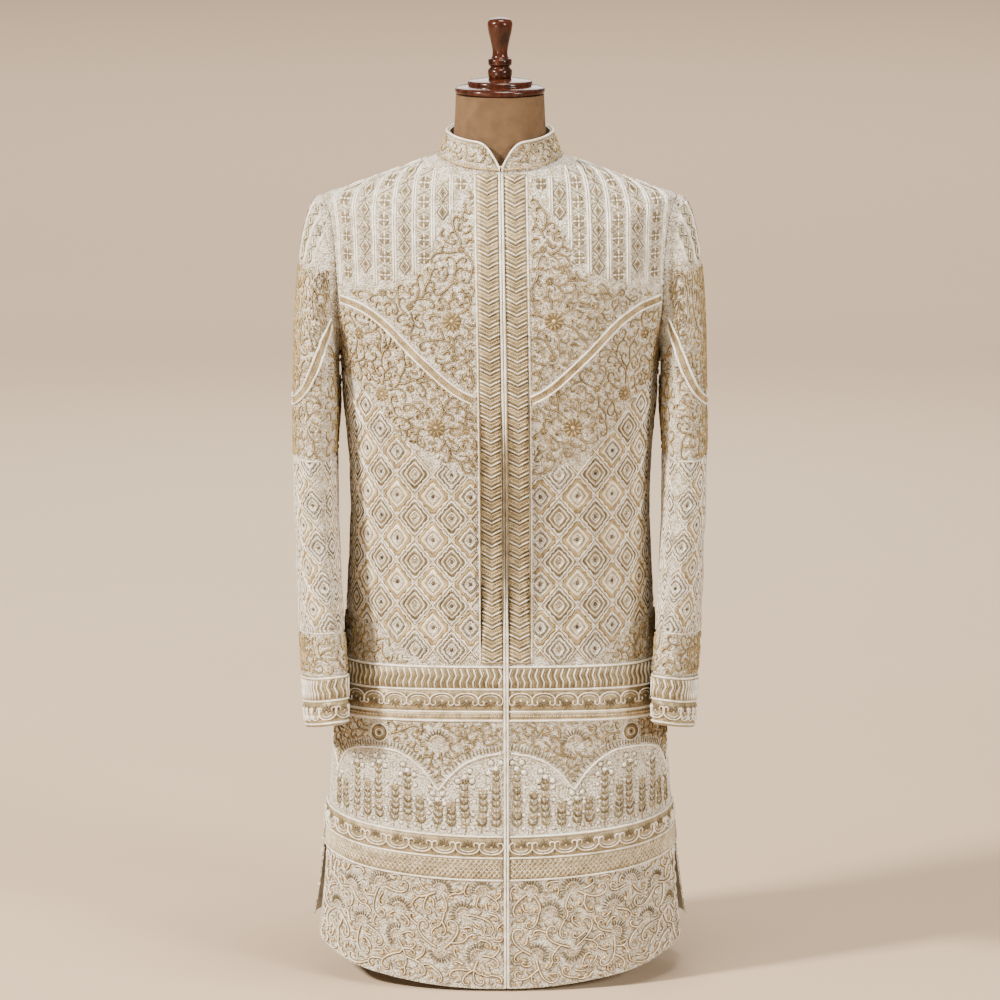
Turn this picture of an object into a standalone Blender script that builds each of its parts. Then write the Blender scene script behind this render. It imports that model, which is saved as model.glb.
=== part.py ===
# Sherwani coat on a limbless dress form, in metres. +Z is up, the front faces -Y, the wearer's left is +X.
# Every piece of cloth is a thin wall on one of three surfaces: the body, the sleeve and the collar.

import math
from collections import namedtuple

import bmesh
import bpy
import numpy as np

# Cloth and seams
WALL = 0.0020  # cloth with its backing and embroidery
SEAM = 0.0003  # between pieces that are sewn together
TRIM_SEAT = 0.0004  # under a band or cord that lies on a panel
BAND_RISE = 0.0011  # face of a band over its seat
CORD_RISE = 0.0024  # top of the cords along a band's edges
CORD_HALF = 0.0013  # half the width of such a cord
BOXINESS = 0.12  # how much squarer than an ellipse a section is

# Body sections, from the floor to the neck seam. side_z is the height of the section at the side line, and
# middle_width is the half width that its front and back follow, less than half_width on the shoulders.
Section = namedtuple("Section", "side_z half_width middle_width front_z front_y back_z back_y")
BODY_SECTIONS = (
    Section(-0.0170, 0.2360, 0.2360, -0.0170, -0.1530, -0.0170, 0.1450),
    Section(0.0410, 0.2292, 0.2292, 0.0410, -0.1500, 0.0410, 0.1420),
    Section(0.1090, 0.2217, 0.2217, 0.1090, -0.1460, 0.1090, 0.1375),
    Section(0.2190, 0.2151, 0.2151, 0.2190, -0.1385, 0.2190, 0.1300),
    Section(0.2960, 0.2095, 0.2095, 0.2960, -0.1335, 0.2960, 0.1255),
    Section(0.3760, 0.1995, 0.1995, 0.3760, -0.1280, 0.3760, 0.1190),
    Section(0.4660, 0.1915, 0.1915, 0.4660, -0.1215, 0.4660, 0.1085),
    Section(0.5300, 0.1880, 0.1880, 0.5300, -0.1175, 0.5300, 0.1015),
    Section(0.5930, 0.1858, 0.1858, 0.5930, -0.1160, 0.5930, 0.0985),
    Section(0.6580, 0.1880, 0.1880, 0.6580, -0.1185, 0.6580, 0.1010),
    Section(0.7190, 0.1940, 0.1940, 0.7190, -0.1230, 0.7190, 0.1070),
    Section(0.7830, 0.1985, 0.1985, 0.7830, -0.1260, 0.7830, 0.1120),
    Section(0.8530, 0.2150, 0.2040, 0.8380, -0.1265, 0.8450, 0.1150),
    Section(0.9130, 0.2190, 0.1985, 0.8810, -0.1220, 0.8950, 0.1140),
    Section(0.9764, 0.2190, 0.1765, 0.9250, -0.1110, 0.9470, 0.1060),
    Section(0.9900, 0.1800, 0.1560, 0.9490, -0.1010, 0.9710, 0.0960),
    Section(1.0053, 0.1370, 0.1285, 0.9750, -0.0880, 0.9980, 0.0820),
    Section(1.0190, 0.0980, 0.0965, 0.9990, -0.0765, 1.0230, 0.0680),
    Section(1.0270, 0.0757, 0.0757, 1.0135, -0.0700, 1.0340, 0.0600),
)
NECK_Z = 1.0270
SHOULDER_Z = 0.9764
UNDERARM_Z = 0.7830
SLIT_TOP_Z = 0.2280
BACK_FLARE = 0.0126  # how much wider than the front the back stands at the floor, below the slits

# Level lines: their height at the side seams and at the middle
Line = namedtuple("Line", "side middle")
FRONT_HEM = Line(0.0410, 0.0034)
BACK_HEM = Line(0.0615, 0.0280)
HEM_CORNER = 0.0100  # how much a front's hem rises at its rounded side corner
BELT_CORDS = (Line(0.3321, 0.3391), Line(0.3423, 0.3504), Line(0.3705, 0.3781), Line(0.3999, 0.4058))
SKIRT_CORDS = (Line(0.1577, 0.1398), Line(0.1817, 0.1675), Line(0.2103, 0.1942))

# The front opening drifts towards the wearer's left. Heights and places of that line:
OPENING_Z = (0.003, 0.593, 1.013)
OPENING_X = (0.0085, 0.0066, 0.0008)
OPENING_GAP = 0.0008
PLACKET_INNER = 0.0038
PLACKET_OUTER = 0.0300
PLACKET_TOP_Z = 1.0090
CHEVRON_PITCH = 0.0144
CHEVRON_DROP = 0.0062  # how much lower a chevron's point lies than its ends
EDGE_CORD_RADIUS = 0.0014
UNDERLAP_HALF = 0.0120
UNDERLAP_WALL = 0.0012

# Yoke band: where its lower edge lies, from the placket to the armhole
YOKE_X = (0.0300, 0.0490, 0.0980, 0.1490, 0.1740, 0.2050)
YOKE_Z = (0.7310, 0.7400, 0.7810, 0.8300, 0.8440, 0.8510)
YOKE_WIDTH = 0.0115
YOKE_END = 0.040  # how far short of the armhole the band ends, as an angle

# Armhole, counted round from the shoulder point over the front
ARMHOLE_HALF = math.radians(21.0)
ARMHOLE_EGG = 0.05
ARMHOLE_ROUND = 0.80  # under 1 widens its top and bottom
SLEEVE_STEP = math.radians(22.5)

SleeveRing = namedtuple("SleeveRing", "z centre_x centre_y half_width half_depth yaw tilt")
SLEEVE_RINGS = (
    SleeveRing(0.3237, 0.2155, -0.0820, 0.0213, 0.0580, 14.0, 0.10),
    SleeveRing(0.3810, 0.2178, -0.0700, 0.0236, 0.0620, 13.0, 0.08),
    SleeveRing(0.4660, 0.2235, -0.0510, 0.0257, 0.0680, 8.0, 0.05),
    SleeveRing(0.5290, 0.2264, -0.0360, 0.0266, 0.0710, 4.0, 0.03),
    SleeveRing(0.5930, 0.2288, -0.0230, 0.0265, 0.0740, 1.0, 0.00),
    SleeveRing(0.6680, 0.2295, -0.0110, 0.0269, 0.0770, 0.0, 0.00),
    SleeveRing(0.7193, 0.2278, -0.0040, 0.0285, 0.0790, 0.0, 0.00),
    SleeveRing(0.7580, 0.2276, 0.0000, 0.0278, 0.0790, 0.0, 0.00),
)
BICEPS_Z = 0.7580
CUFF_PITCH = 0.20  # the cuff is square to the forearm, which leans forward
PITCH_TOP_Z = 0.5600  # the sleeve's level lines are level from here up
CAP_RISE = 0.2200  # length given to the sleeve cap above the biceps line
CAP_START = 0.40  # pull of the cap where it leaves the armhole, in chords
CAP_END = 1.10  # pull of the cap where it meets the biceps line, in chords
CUFF_CORDS = (0.3272, 0.3554, 0.3840)
SLEEVE_BAND_END = math.radians(112.5)  # how far it reaches round the sleeve from the outside
SLEEVE_BAND_STEEPEST = 2.2  # most that its upright width may exceed its true width
SLEEVE_BAND_LOW = 0.7230
SLEEVE_BAND_SWEEP = 0.0550
SLEEVE_BAND_CLIMB = 0.1350

# Stand collar: from the neck seam to its top edge
COLLAR_TOP = Section(1.0575, 0.0640, 0.0640, 1.0480, -0.0620, 1.0690, 0.0565)
COLLAR_TIP = 0.0280  # length of each rounded front tip
COLLAR_TIP_POWER = 2.4
COLLAR_WALL = 0.0022
COLLAR_GAP = 0.0011
COLLAR_CORD_RADIUS = 0.0012

# Dress form, with its stand hidden under the skirt
FORM_BOTTOM_Z = 0.4230
FORM_INSET = (
    (0.420, 0.0110),
    (0.600, 0.0100),
    (0.780, 0.0080),
    (0.910, 0.0070),
    (0.976, 0.0058),
    (0.990, 0.0044),
    (1.005, 0.0029),
)
FORM_INSET_MIDDLE = 0.0030  # further in at the front and the back than on the shoulders
FORM_ROWS = (0.431, 0.483, 0.543, 0.603, 0.673, 0.743, 0.813)
NeckRing = namedtuple("NeckRing", "z half_width front_y back_y")
NECK_RINGS = (
    NeckRing(1.0190, 0.0700, -0.0605, 0.0555),
    NeckRing(1.0290, 0.0635, -0.0575, 0.0530),
    NeckRing(1.0420, 0.0590, -0.0555, 0.0515),
    NeckRing(1.0620, 0.0565, -0.0540, 0.0505),
    NeckRing(1.1020, 0.0545, -0.0530, 0.0500),
)
TurnedPoint = namedtuple("TurnedPoint", "radius z")
CAP_PROFILE = (
    TurnedPoint(0.0000, 1.1023),
    TurnedPoint(0.0525, 1.1023),
    TurnedPoint(0.0552, 1.1045),
    TurnedPoint(0.0556, 1.1075),
    TurnedPoint(0.0535, 1.1102),
    TurnedPoint(0.0480, 1.1120),
    TurnedPoint(0.0400, 1.1132),
    TurnedPoint(0.0398, 1.1165),
    TurnedPoint(0.0375, 1.1188),
    TurnedPoint(0.0180, 1.1215),
    TurnedPoint(0.0000, 1.1215),
)
FINIAL_PROFILE = (
    TurnedPoint(0.0000, 1.1218),
    TurnedPoint(0.0135, 1.1218),
    TurnedPoint(0.0148, 1.1255),
    TurnedPoint(0.0150, 1.1305),
    TurnedPoint(0.0118, 1.1355),
    TurnedPoint(0.0146, 1.1390),
    TurnedPoint(0.0146, 1.1440),
    TurnedPoint(0.0098, 1.1480),
    TurnedPoint(0.0093, 1.1530),
    TurnedPoint(0.0118, 1.1680),
    TurnedPoint(0.0148, 1.1815),
    TurnedPoint(0.0155, 1.1885),
    TurnedPoint(0.0120, 1.1945),
    TurnedPoint(0.0000, 1.1972),
)
BASE_RADIUS = 0.1100
BASE_PROFILE = (
    TurnedPoint(0.0000, 0.0000),
    TurnedPoint(BASE_RADIUS, 0.0000),
    TurnedPoint(BASE_RADIUS, 0.0090),
    TurnedPoint(BASE_RADIUS - 0.0060, 0.0140),
    TurnedPoint(0.0300, 0.0180),
    TurnedPoint(0.0000, 0.0180),
)
POLE_RADIUS = 0.0160

Finish = namedtuple("Finish", "red green blue roughness metallic")
FINISHES = {
    "ivory_embroidered": Finish(0.74, 0.69, 0.59, 0.62, 0.0),
    "ivory_plain": Finish(0.78, 0.74, 0.66, 0.60, 0.0),
    "gold_work": Finish(0.60, 0.47, 0.28, 0.42, 0.4),
    "white_cord": Finish(0.88, 0.86, 0.81, 0.50, 0.0),
    "taupe_linen": Finish(0.40, 0.30, 0.21, 0.85, 0.0),
    "mahogany": Finish(0.12, 0.025, 0.012, 0.18, 0.0),
    "dark_steel": Finish(0.06, 0.06, 0.06, 0.40, 0.8),
}


def curve(x, xs, ys):
    # Smooth value at x through a table's points, with no overshoot between them.
    xs = np.asarray(xs, float)
    ys = np.asarray(ys, float)
    x = np.clip(np.asarray(x, float), xs[0], xs[-1])
    step = np.diff(xs)
    slope = np.diff(ys) / step
    inner = np.zeros(len(xs) - 2)
    same = slope[:-1] * slope[1:] > 0
    inner[same] = 2 * slope[:-1][same] * slope[1:][same] / (slope[:-1] + slope[1:])[same]
    tangent = np.concatenate([slope[:1], inner, slope[-1:]])
    k = np.clip(np.searchsorted(xs, x, side="right") - 1, 0, len(step) - 1)
    t = (x - xs[k]) / step[k]
    start = (1 + 2 * t) * (1 - t) ** 2 * ys[k] + t * (1 - t) ** 2 * step[k] * tangent[k]
    end = t**2 * (3 - 2 * t) * ys[k + 1] - t**2 * (1 - t) * step[k] * tangent[k + 1]
    return start + end


def body_value(column, height):
    heights = [section.side_z for section in BODY_SECTIONS]
    return curve(height, heights, [getattr(section, column) for section in BODY_SECTIONS])


def plan_width(angle, height):
    # Half width that a section has at this angle.
    share = np.sin(angle) ** 6
    return body_value("half_width", height) * share + body_value("middle_width", height) * (1 - share)


def oval(angle, half_width, front_y, back_y):
    # Plan of a section. The angle is counted from the middle of the front towards +X.
    c = np.cos(angle)
    s = np.sin(angle)
    x = half_width * s * (1 + BOXINESS * c**2)
    y = np.where(c >= 0, front_y, -back_y) * c * (1 + BOXINESS * s**2)
    return x, y


def body(angle, height):
    # Outer face of the coat's body. The height is that of the section at the side line.
    angle, height = np.broadcast_arrays(np.asarray(angle, float), np.asarray(height, float))
    c = np.cos(angle)
    flare = np.where(c < 0, BACK_FLARE * np.clip(1 - height / SLIT_TOP_Z, 0, 1), 0.0)
    half_width = plan_width(angle, height) + flare
    x, y = oval(angle, half_width, body_value("front_y", height), body_value("back_y", height))
    middle_z = np.where(c >= 0, body_value("front_z", height), body_value("back_z", height))
    return np.stack([x, y, height + (middle_z - height) * c**2], axis=-1)


def armhole(turn):
    # Angle and height on the body of the armhole seam, turn = 0 at the shoulder point and pi under the arm.
    rise = (1 + np.cos(turn)) / 2
    reach = ARMHOLE_HALF * np.sign(np.sin(turn)) * np.abs(np.sin(turn)) ** ARMHOLE_ROUND
    reach = reach * (1 - ARMHOLE_EGG * np.cos(turn))
    return math.pi / 2 - reach, UNDERARM_Z + (SHOULDER_Z - UNDERARM_Z) * rise


def sleeve_ring(turn, z):
    # Point of the wearer's left sleeve below the biceps line, turn = 0 outside and pi / 2 in front.
    heights = [ring.z for ring in SLEEVE_RINGS]
    value = {
        column: curve(z, heights, [getattr(ring, column) for ring in SLEEVE_RINGS])
        for column in SleeveRing._fields[1:]
    }
    c = np.cos(turn)
    s = np.sin(turn)
    across = value["half_width"] * c * (1 + BOXINESS * s**2)
    along = -value["half_depth"] * s * (1 + BOXINESS * c**2)
    yaw = np.radians(value["yaw"])
    x = value["centre_x"] + across * np.cos(yaw) + along * np.sin(yaw)
    y = value["centre_y"] - across * np.sin(yaw) + along * np.cos(yaw)
    pitch = CUFF_PITCH * np.clip((PITCH_TOP_Z - z) / (PITCH_TOP_Z - CUFF_CORDS[0]), 0, 1)
    return np.stack([x, y, z - value["tilt"] * across - pitch * along], axis=-1)


def sleeve(turn, level):
    # Outer face of the left sleeve. Above the biceps line it bends over to the armhole seam.
    turn, level = np.broadcast_arrays(np.asarray(turn, float), np.asarray(level, float))
    t = np.clip((level - BICEPS_Z) / CAP_RISE, 0, 1)[..., None]
    ring = sleeve_ring(turn, np.minimum(level, BICEPS_Z))
    outward = np.stack([np.full(turn.shape, 0.9), -0.55 * np.sin(turn), 0.6 * np.cos(turn) - 0.35], axis=-1)
    outward = outward / np.linalg.norm(outward, axis=-1, keepdims=True)
    seam = body(*armhole(turn)) + 1.5 * SEAM * outward
    chord = np.linalg.norm(seam - sleeve_ring(turn, np.full(turn.shape, BICEPS_Z)), axis=-1, keepdims=True)
    up = np.zeros(turn.shape + (3,))
    up[..., 2] = 1.0
    rise = CAP_END * chord * up
    pull = CAP_START * chord * -outward
    start = (1 + 2 * t) * (1 - t) ** 2 * ring + t * (1 - t) ** 2 * rise
    end = t**2 * (3 - 2 * t) * seam - t**2 * (1 - t) * pull
    return start + end


def collar(angle, rise):
    # Outer face of the stand collar, rise = 0 at the neck seam and 1 at its top edge.
    angle, rise = np.broadcast_arrays(np.asarray(angle, float), np.asarray(rise, float))
    base = body(angle, NECK_Z) + np.array([0.0, 0.0, SEAM])
    x, y = oval(angle, COLLAR_TOP.half_width, COLLAR_TOP.front_y, COLLAR_TOP.back_y)
    middle_z = np.where(np.cos(angle) >= 0, COLLAR_TOP.front_z, COLLAR_TOP.back_z)
    z = COLLAR_TOP.side_z + (middle_z - COLLAR_TOP.side_z) * np.cos(angle) ** 2
    top = np.stack([x, y, z], axis=-1)
    return base + (top - base) * rise[..., None]


def lifted(surface, u, v, lift, outward=1):
    # Points of a surface moved out along its normals.
    u, v, lift = np.broadcast_arrays(np.asarray(u, float), np.asarray(v, float), np.asarray(lift, float))
    small = 1e-4
    across = surface(u + small, v) - surface(u - small, v)
    upward = surface(u, v + small) - surface(u, v - small)
    normal = outward * np.cross(across, upward)
    normal /= np.linalg.norm(normal, axis=-1, keepdims=True)
    return surface(u, v) + lift[..., None] * normal


def on_body(angle, height, lift):
    return lifted(body, angle, height, lift)


def on_sleeve(side, turn, level, lift):
    return lifted(sleeve, turn, level, lift, outward=-1) * np.array([side, 1, 1])


def on_collar(angle, rise, lift):
    return lifted(collar, angle, rise, lift)


def material(name):
    finish = FINISHES[name]
    made = bpy.data.materials.get(name) or bpy.data.materials.new(name)
    made.use_nodes = True
    shader = made.node_tree.nodes["Principled BSDF"]
    shader.inputs["Base Color"].default_value = (finish.red, finish.green, finish.blue, 1.0)
    shader.inputs["Roughness"].default_value = finish.roughness
    shader.inputs["Metallic"].default_value = finish.metallic
    return made


def solid(name, points, faces, finish, smooth_angle=40):
    mesh = bpy.data.meshes.new(name)
    mesh.from_pydata([tuple(point) for point in points], [], faces)
    body_mesh = bmesh.new()
    body_mesh.from_mesh(mesh)
    bmesh.ops.recalc_face_normals(body_mesh, faces=body_mesh.faces)
    body_mesh.to_mesh(mesh)
    body_mesh.free()
    mesh.shade_smooth()
    mesh.set_sharp_from_angle(angle=math.radians(smooth_angle))
    mesh.materials.append(material(finish))
    made = bpy.data.objects.new(name, mesh)
    bpy.context.scene.collection.objects.link(made)
    return made


def wall(name, outer, inner, finish):
    # Closed wall between two grids of points with the same rows and columns.
    rows, columns = outer.shape[:2]
    points = np.concatenate([outer.reshape(-1, 3), inner.reshape(-1, 3)])

    def at(layer, row, column):
        return layer * rows * columns + row * columns + column

    faces = []
    for row in range(rows - 1):
        for column in range(columns - 1):
            for layer in (0, 1):
                corners = ((row, column), (row, column + 1), (row + 1, column + 1), (row + 1, column))
                face = [at(layer, *corner) for corner in corners]
                faces.append(face if layer == 0 else face[::-1])
    rim = [(0, column) for column in range(columns)]
    rim += [(row, columns - 1) for row in range(1, rows)]
    rim += [(rows - 1, column) for column in range(columns - 2, -1, -1)]
    rim += [(row, 0) for row in range(rows - 2, 0, -1)]
    for k, corner in enumerate(rim):
        after = rim[(k + 1) % len(rim)]
        faces.append([at(0, *corner), at(1, *corner), at(1, *after), at(0, *after)])
    return solid(name, points, faces, finish)


def stacked(name, rings, finish, smooth_angle=40):
    # Closed solid through rings of points. A ring of one point closes an end to a tip.
    points = np.concatenate(rings)
    starts = np.cumsum([0] + [len(ring) for ring in rings])
    faces = []
    for k in range(len(rings) - 1):
        low = [starts[k] + i for i in range(len(rings[k]))]
        high = [starts[k + 1] + i for i in range(len(rings[k + 1]))]
        around = max(len(low), len(high))
        for i in range(around):
            j = (i + 1) % around
            face = [low[i % len(low)], low[j % len(low)], high[j % len(high)], high[i % len(high)]]
            faces.append(list(dict.fromkeys(face)))
    for ring, first in ((rings[0], starts[0]), (rings[-1], starts[-2])):
        if len(ring) > 1:
            faces.append([first + i for i in range(len(ring))])
    return solid(name, points, faces, finish, smooth_angle)


def tube(name, path, radius, finish, sides=5):
    # Round cord along a path of points, closed at both ends.
    path = np.asarray(path)
    ahead = np.gradient(path, axis=0)
    ahead /= np.linalg.norm(ahead, axis=1, keepdims=True)
    side_way = np.cross(ahead, np.array([0.0, 1.0, 0.2]))
    side_way /= np.linalg.norm(side_way, axis=1, keepdims=True)
    up = np.cross(side_way, ahead)
    turns = np.arange(sides) * 2 * math.pi / sides
    rings = [
        path[k] + radius * (np.cos(turns)[:, None] * side_way[k] + np.sin(turns)[:, None] * up[k])
        for k in range(len(path))
    ]
    return stacked(name, rings, finish)


def turned(name, profile, finish, segments=18):
    turns = np.arange(segments) * 2 * math.pi / segments
    circle = np.stack([np.cos(turns), np.sin(turns), np.zeros(segments)], axis=1)
    rings = [
        (circle if point.radius else circle[:1]) * point.radius + np.array([0, 0, point.z]) for point in profile
    ]
    return stacked(name, rings, finish, smooth_angle=35)


def level(line, angle):
    return line.side + (line.middle - line.side) * np.cos(angle) ** 2


def angle_at(x, height):
    # Angle on the front where the body lies x from the middle.
    angle = np.zeros(np.shape(np.asarray(x) * height))
    for _ in range(5):
        width = plan_width(angle, height) * (1 + BOXINESS * np.cos(angle) ** 2)
        angle = np.arcsin(np.clip(x / width, -1, 1))
    return angle


def opening_x(height):
    return curve(height, OPENING_Z, OPENING_X)


def placket_angle(side, offset, height):
    return angle_at(opening_x(height) + side * offset, height)


PLACKET_MIDDLE = (PLACKET_INNER + PLACKET_OUTER) / 2
PLACKET_COLUMNS = (OPENING_GAP / 2, PLACKET_INNER, PLACKET_MIDDLE, PLACKET_OUTER)
FRONT_STEPS = 6  # columns of a front beside its placket
BACK_STEPS = 12
SEAM_ANGLE = SEAM / 2 / 0.12  # half a seam, as an angle at the side line


def front_angles(side, height, edge):
    placket = [float(placket_angle(side, offset, height)) for offset in PLACKET_COLUMNS]
    steps = np.arange(1, FRONT_STEPS + 1) / FRONT_STEPS
    return np.concatenate([placket, placket[-1] + (side * edge - placket[-1]) * steps])


def back_angles(edge):
    return np.linspace(edge, 2 * math.pi - edge, BACK_STEPS + 1)


ARMHOLE_TURNS = np.arange(8, -1, -1) * SLEEVE_STEP
Row = namedtuple("Row", "line edge")
SKIRT_ROWS = (Line(0.101, 0.081),)
UPPER_SKIRT_ROWS = (Line(0.253, 0.245), Line(0.295, 0.295))
WAIST_ROWS = (0.435, 0.473, 0.513, 0.553, 0.593, 0.633, 0.673, 0.713, 0.749)
SHOULDER_ROWS = (0.9900, 1.0053, 1.0190, NECK_Z)


def panel_rows(hem, to_front):
    # Level lines of a front or of the back from its hem to the neck, each with the angle where the panel ends.
    side_edge = math.pi / 2 - to_front * SEAM_ANGLE
    skirt = [hem, *SKIRT_ROWS, *SKIRT_CORDS, *UPPER_SKIRT_ROWS]
    waist = [Line(z, z) for z in WAIST_ROWS]
    rows = [Row(line, side_edge) for line in (*skirt, *BELT_CORDS, *waist)]
    for turn in ARMHOLE_TURNS:
        angle, height = armhole(turn if to_front > 0 else -turn)
        rows.append(Row(Line(height, height), angle - to_front * SEAM_ANGLE))
    for z in SHOULDER_ROWS:
        rows.append(Row(Line(z, z), side_edge))
    return rows


def front_grid(side, rows):
    angles = np.array([front_angles(side, row.line.side, row.edge) for row in rows])
    heights = np.array([level(row.line, angle) for row, angle in zip(rows, angles)])
    heights[0, -1] += HEM_CORNER
    return angles, heights


def make_body_panels():
    for side, name in ((1, "front_left"), (-1, "front_right")):
        angles, heights = front_grid(side, panel_rows(FRONT_HEM, 1))
        wall(name, on_body(angles, heights, 0), on_body(angles, heights, -WALL), "ivory_embroidered")
    rows = panel_rows(BACK_HEM, -1)
    angles = np.array([back_angles(row.edge) for row in rows])
    heights = np.array([level(row.line, angle) for row, angle in zip(rows, angles)])
    wall("back", on_body(angles, heights, 0), on_body(angles, heights, -WALL), "ivory_embroidered")


def cord_profile(centres, rim=CORD_HALF):
    # Rows across a band with a rounded cord on each of its lines: (which line, offset from it, lift).
    rows = []
    for k in range(centres):
        rows += [(k, -rim, BAND_RISE), (k, 0.0, CORD_RISE), (k, rim, BAND_RISE)]
    return rows


def make_bands(name, cords):
    # A raised band round the skirt over its level lines, in a piece for each panel.
    profile = cord_profile(len(cords))
    pieces = []
    edge = math.pi / 2 - SEAM_ANGLE
    for side, place in ((1, "front_left"), (-1, "front_right")):
        angles = np.array([front_angles(side, cords[k].side, edge)[1:] for k, _, _ in profile])
        pieces.append((place, angles))
    pieces.append(("back", np.array([back_angles(math.pi / 2 + SEAM_ANGLE) for _ in profile])))
    for place, angles in pieces:
        shift = np.array([offset for _, offset, _ in profile])[:, None]
        heights = np.array([level(cords[k], angle) for (k, _, _), angle in zip(profile, angles)]) + shift
        rise = np.array([lift for _, _, lift in profile])[:, None] + TRIM_SEAT
        wall(f"{name}_{place}", on_body(angles, heights, rise), on_body(angles, heights, TRIM_SEAT), "gold_work")


def make_placket():
    # Chevron braid beside the opening, raised in ribs that point down.
    low = BELT_CORDS[-1].middle + 2 * CORD_HALF + CHEVRON_DROP
    high = PLACKET_TOP_Z
    ribs = int((high - low) / CHEVRON_PITCH)
    heights = low + np.arange(2 * ribs + 1)[:, None] * CHEVRON_PITCH / 2
    offsets = (PLACKET_INNER, PLACKET_MIDDLE, PLACKET_OUTER)
    drop = np.array([0.0, CHEVRON_DROP, 0.0])[None, :]
    rise = np.where(np.arange(2 * ribs + 1) % 2, 0.0019, 0.0008)[:, None]
    for side, name in ((1, "chevron_left"), (-1, "chevron_right")):
        place = section_height(heights - drop)
        angles = np.stack([placket_angle(side, offset, place[:, k]) for k, offset in enumerate(offsets)], axis=1)
        outer = on_body(angles, place, TRIM_SEAT + rise)
        wall(name, outer, on_body(angles, place, TRIM_SEAT), "gold_work")


def section_height(z):
    # Height of the section at its side line, whose middle of the front lies at z.
    heights = [section.side_z for section in BODY_SECTIONS]
    return curve(z, [section.front_z for section in BODY_SECTIONS], heights)


def make_opening_trim():
    heights = section_height(np.linspace(FRONT_HEM.middle + 0.0015, BODY_SECTIONS[-1].front_z - 0.0040, 30))
    offset = OPENING_GAP / 2 + EDGE_CORD_RADIUS
    for side, name in ((1, "edge_cord_left"), (-1, "edge_cord_right")):
        angles = placket_angle(side, offset, heights)
        tube(name, on_body(angles, heights, EDGE_CORD_RADIUS + 2 * TRIM_SEAT), EDGE_CORD_RADIUS, "white_cord")
    heights = heights[:, None]
    sides = (-UNDERLAP_HALF, UNDERLAP_HALF)
    angles = np.concatenate([angle_at(opening_x(heights) + across, heights) for across in sides], axis=1)
    near = -WALL - 1.5 * SEAM
    outer = on_body(angles, heights, near)
    wall("underlap", outer, on_body(angles, heights, near - UNDERLAP_WALL), "ivory_plain")


def make_yoke_bands():
    # Curved band across each chest, from the placket to the armhole.
    profile = ((0.0, BAND_RISE), (0.5, CORD_RISE), (1.0, BAND_RISE))
    across = [CORD_HALF * 2 * place for place, _ in profile]
    across += [YOKE_WIDTH - CORD_HALF * 2 * (1 - place) for place, _ in profile]
    rise = np.array([lift for _, lift in profile] * 2)[:, None] + TRIM_SEAT
    for side, name in ((1, "yoke_band_left"), (-1, "yoke_band_right")):
        heights = np.full((len(across), FRONT_STEPS + 1), YOKE_Z[-2])
        for _ in range(6):
            angles = np.array([[yoke_column(side, k, h) for k, h in enumerate(row)] for row in heights])
            z = curve(np.abs(body(angles, heights)[..., 0]), YOKE_X, YOKE_Z)
            heights = section_height_at(angles, z + np.array(across)[:, None])
        outer = on_body(angles, heights, rise)
        wall(name, outer, on_body(angles, heights, TRIM_SEAT), "gold_work")


def yoke_column(side, column, height):
    # Angle of a yoke band's column, which follows the front's columns between the braid and the armhole.
    rise = np.clip((height - UNDERARM_Z) / (SHOULDER_Z - UNDERARM_Z), 0, 1)
    edge, _ = armhole(math.acos(2 * rise - 1))
    if column == 0:
        return float(placket_angle(side, PLACKET_OUTER + 2 * SEAM, height))
    if column == FRONT_STEPS:
        return side * (edge - YOKE_END)
    return front_angles(side, height, edge)[column + len(PLACKET_COLUMNS) - 1]


def section_height_at(angle, z):
    # Height of the section whose point at this angle lies at z.
    height = z + 0.0
    for _ in range(12):
        height = height + (z - body(angle, height)[..., 2])
    return height


def make_sleeves():
    levels = [ring.z for ring in SLEEVE_RINGS]
    levels += [BICEPS_Z + CAP_RISE * share for share in (0.12, 0.25, 0.40, 0.60, 0.80, 1.0)]
    levels = np.array(levels)[:, None]
    seam_turn = SEAM / 2 / 0.03
    upper = np.arange(-5, 6) * SLEEVE_STEP
    under = np.arange(5, 12) * SLEEVE_STEP
    for part, turns in (("upper", upper), ("under", under)):
        turns = turns.astype(float)
        turns[0] += seam_turn
        turns[-1] -= seam_turn
        for side, place in ((1, "left"), (-1, "right")):
            outer = on_sleeve(side, turns[None, :], levels, 0)
            inner = on_sleeve(side, turns[None, :], levels, -WALL)
            wall(f"sleeve_{part}_{place}", outer, inner, "ivory_embroidered")


def make_cuff_bands():
    # Raised band round each cuff, open by a seam under the arm.
    turns = np.linspace(-math.pi + 0.006, math.pi - 0.006, 17)
    profile = cord_profile(len(CUFF_CORDS))
    levels = np.array([CUFF_CORDS[k] + offset for k, offset, _ in profile])[:, None]
    rise = np.array([lift for _, _, lift in profile])[:, None] + TRIM_SEAT
    for side, place in ((1, "left"), (-1, "right")):
        outer = on_sleeve(side, turns[None, :], levels, rise)
        inner = on_sleeve(side, turns[None, :], levels, TRIM_SEAT)
        wall(f"cuff_band_{place}", outer, inner, "gold_work")


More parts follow.
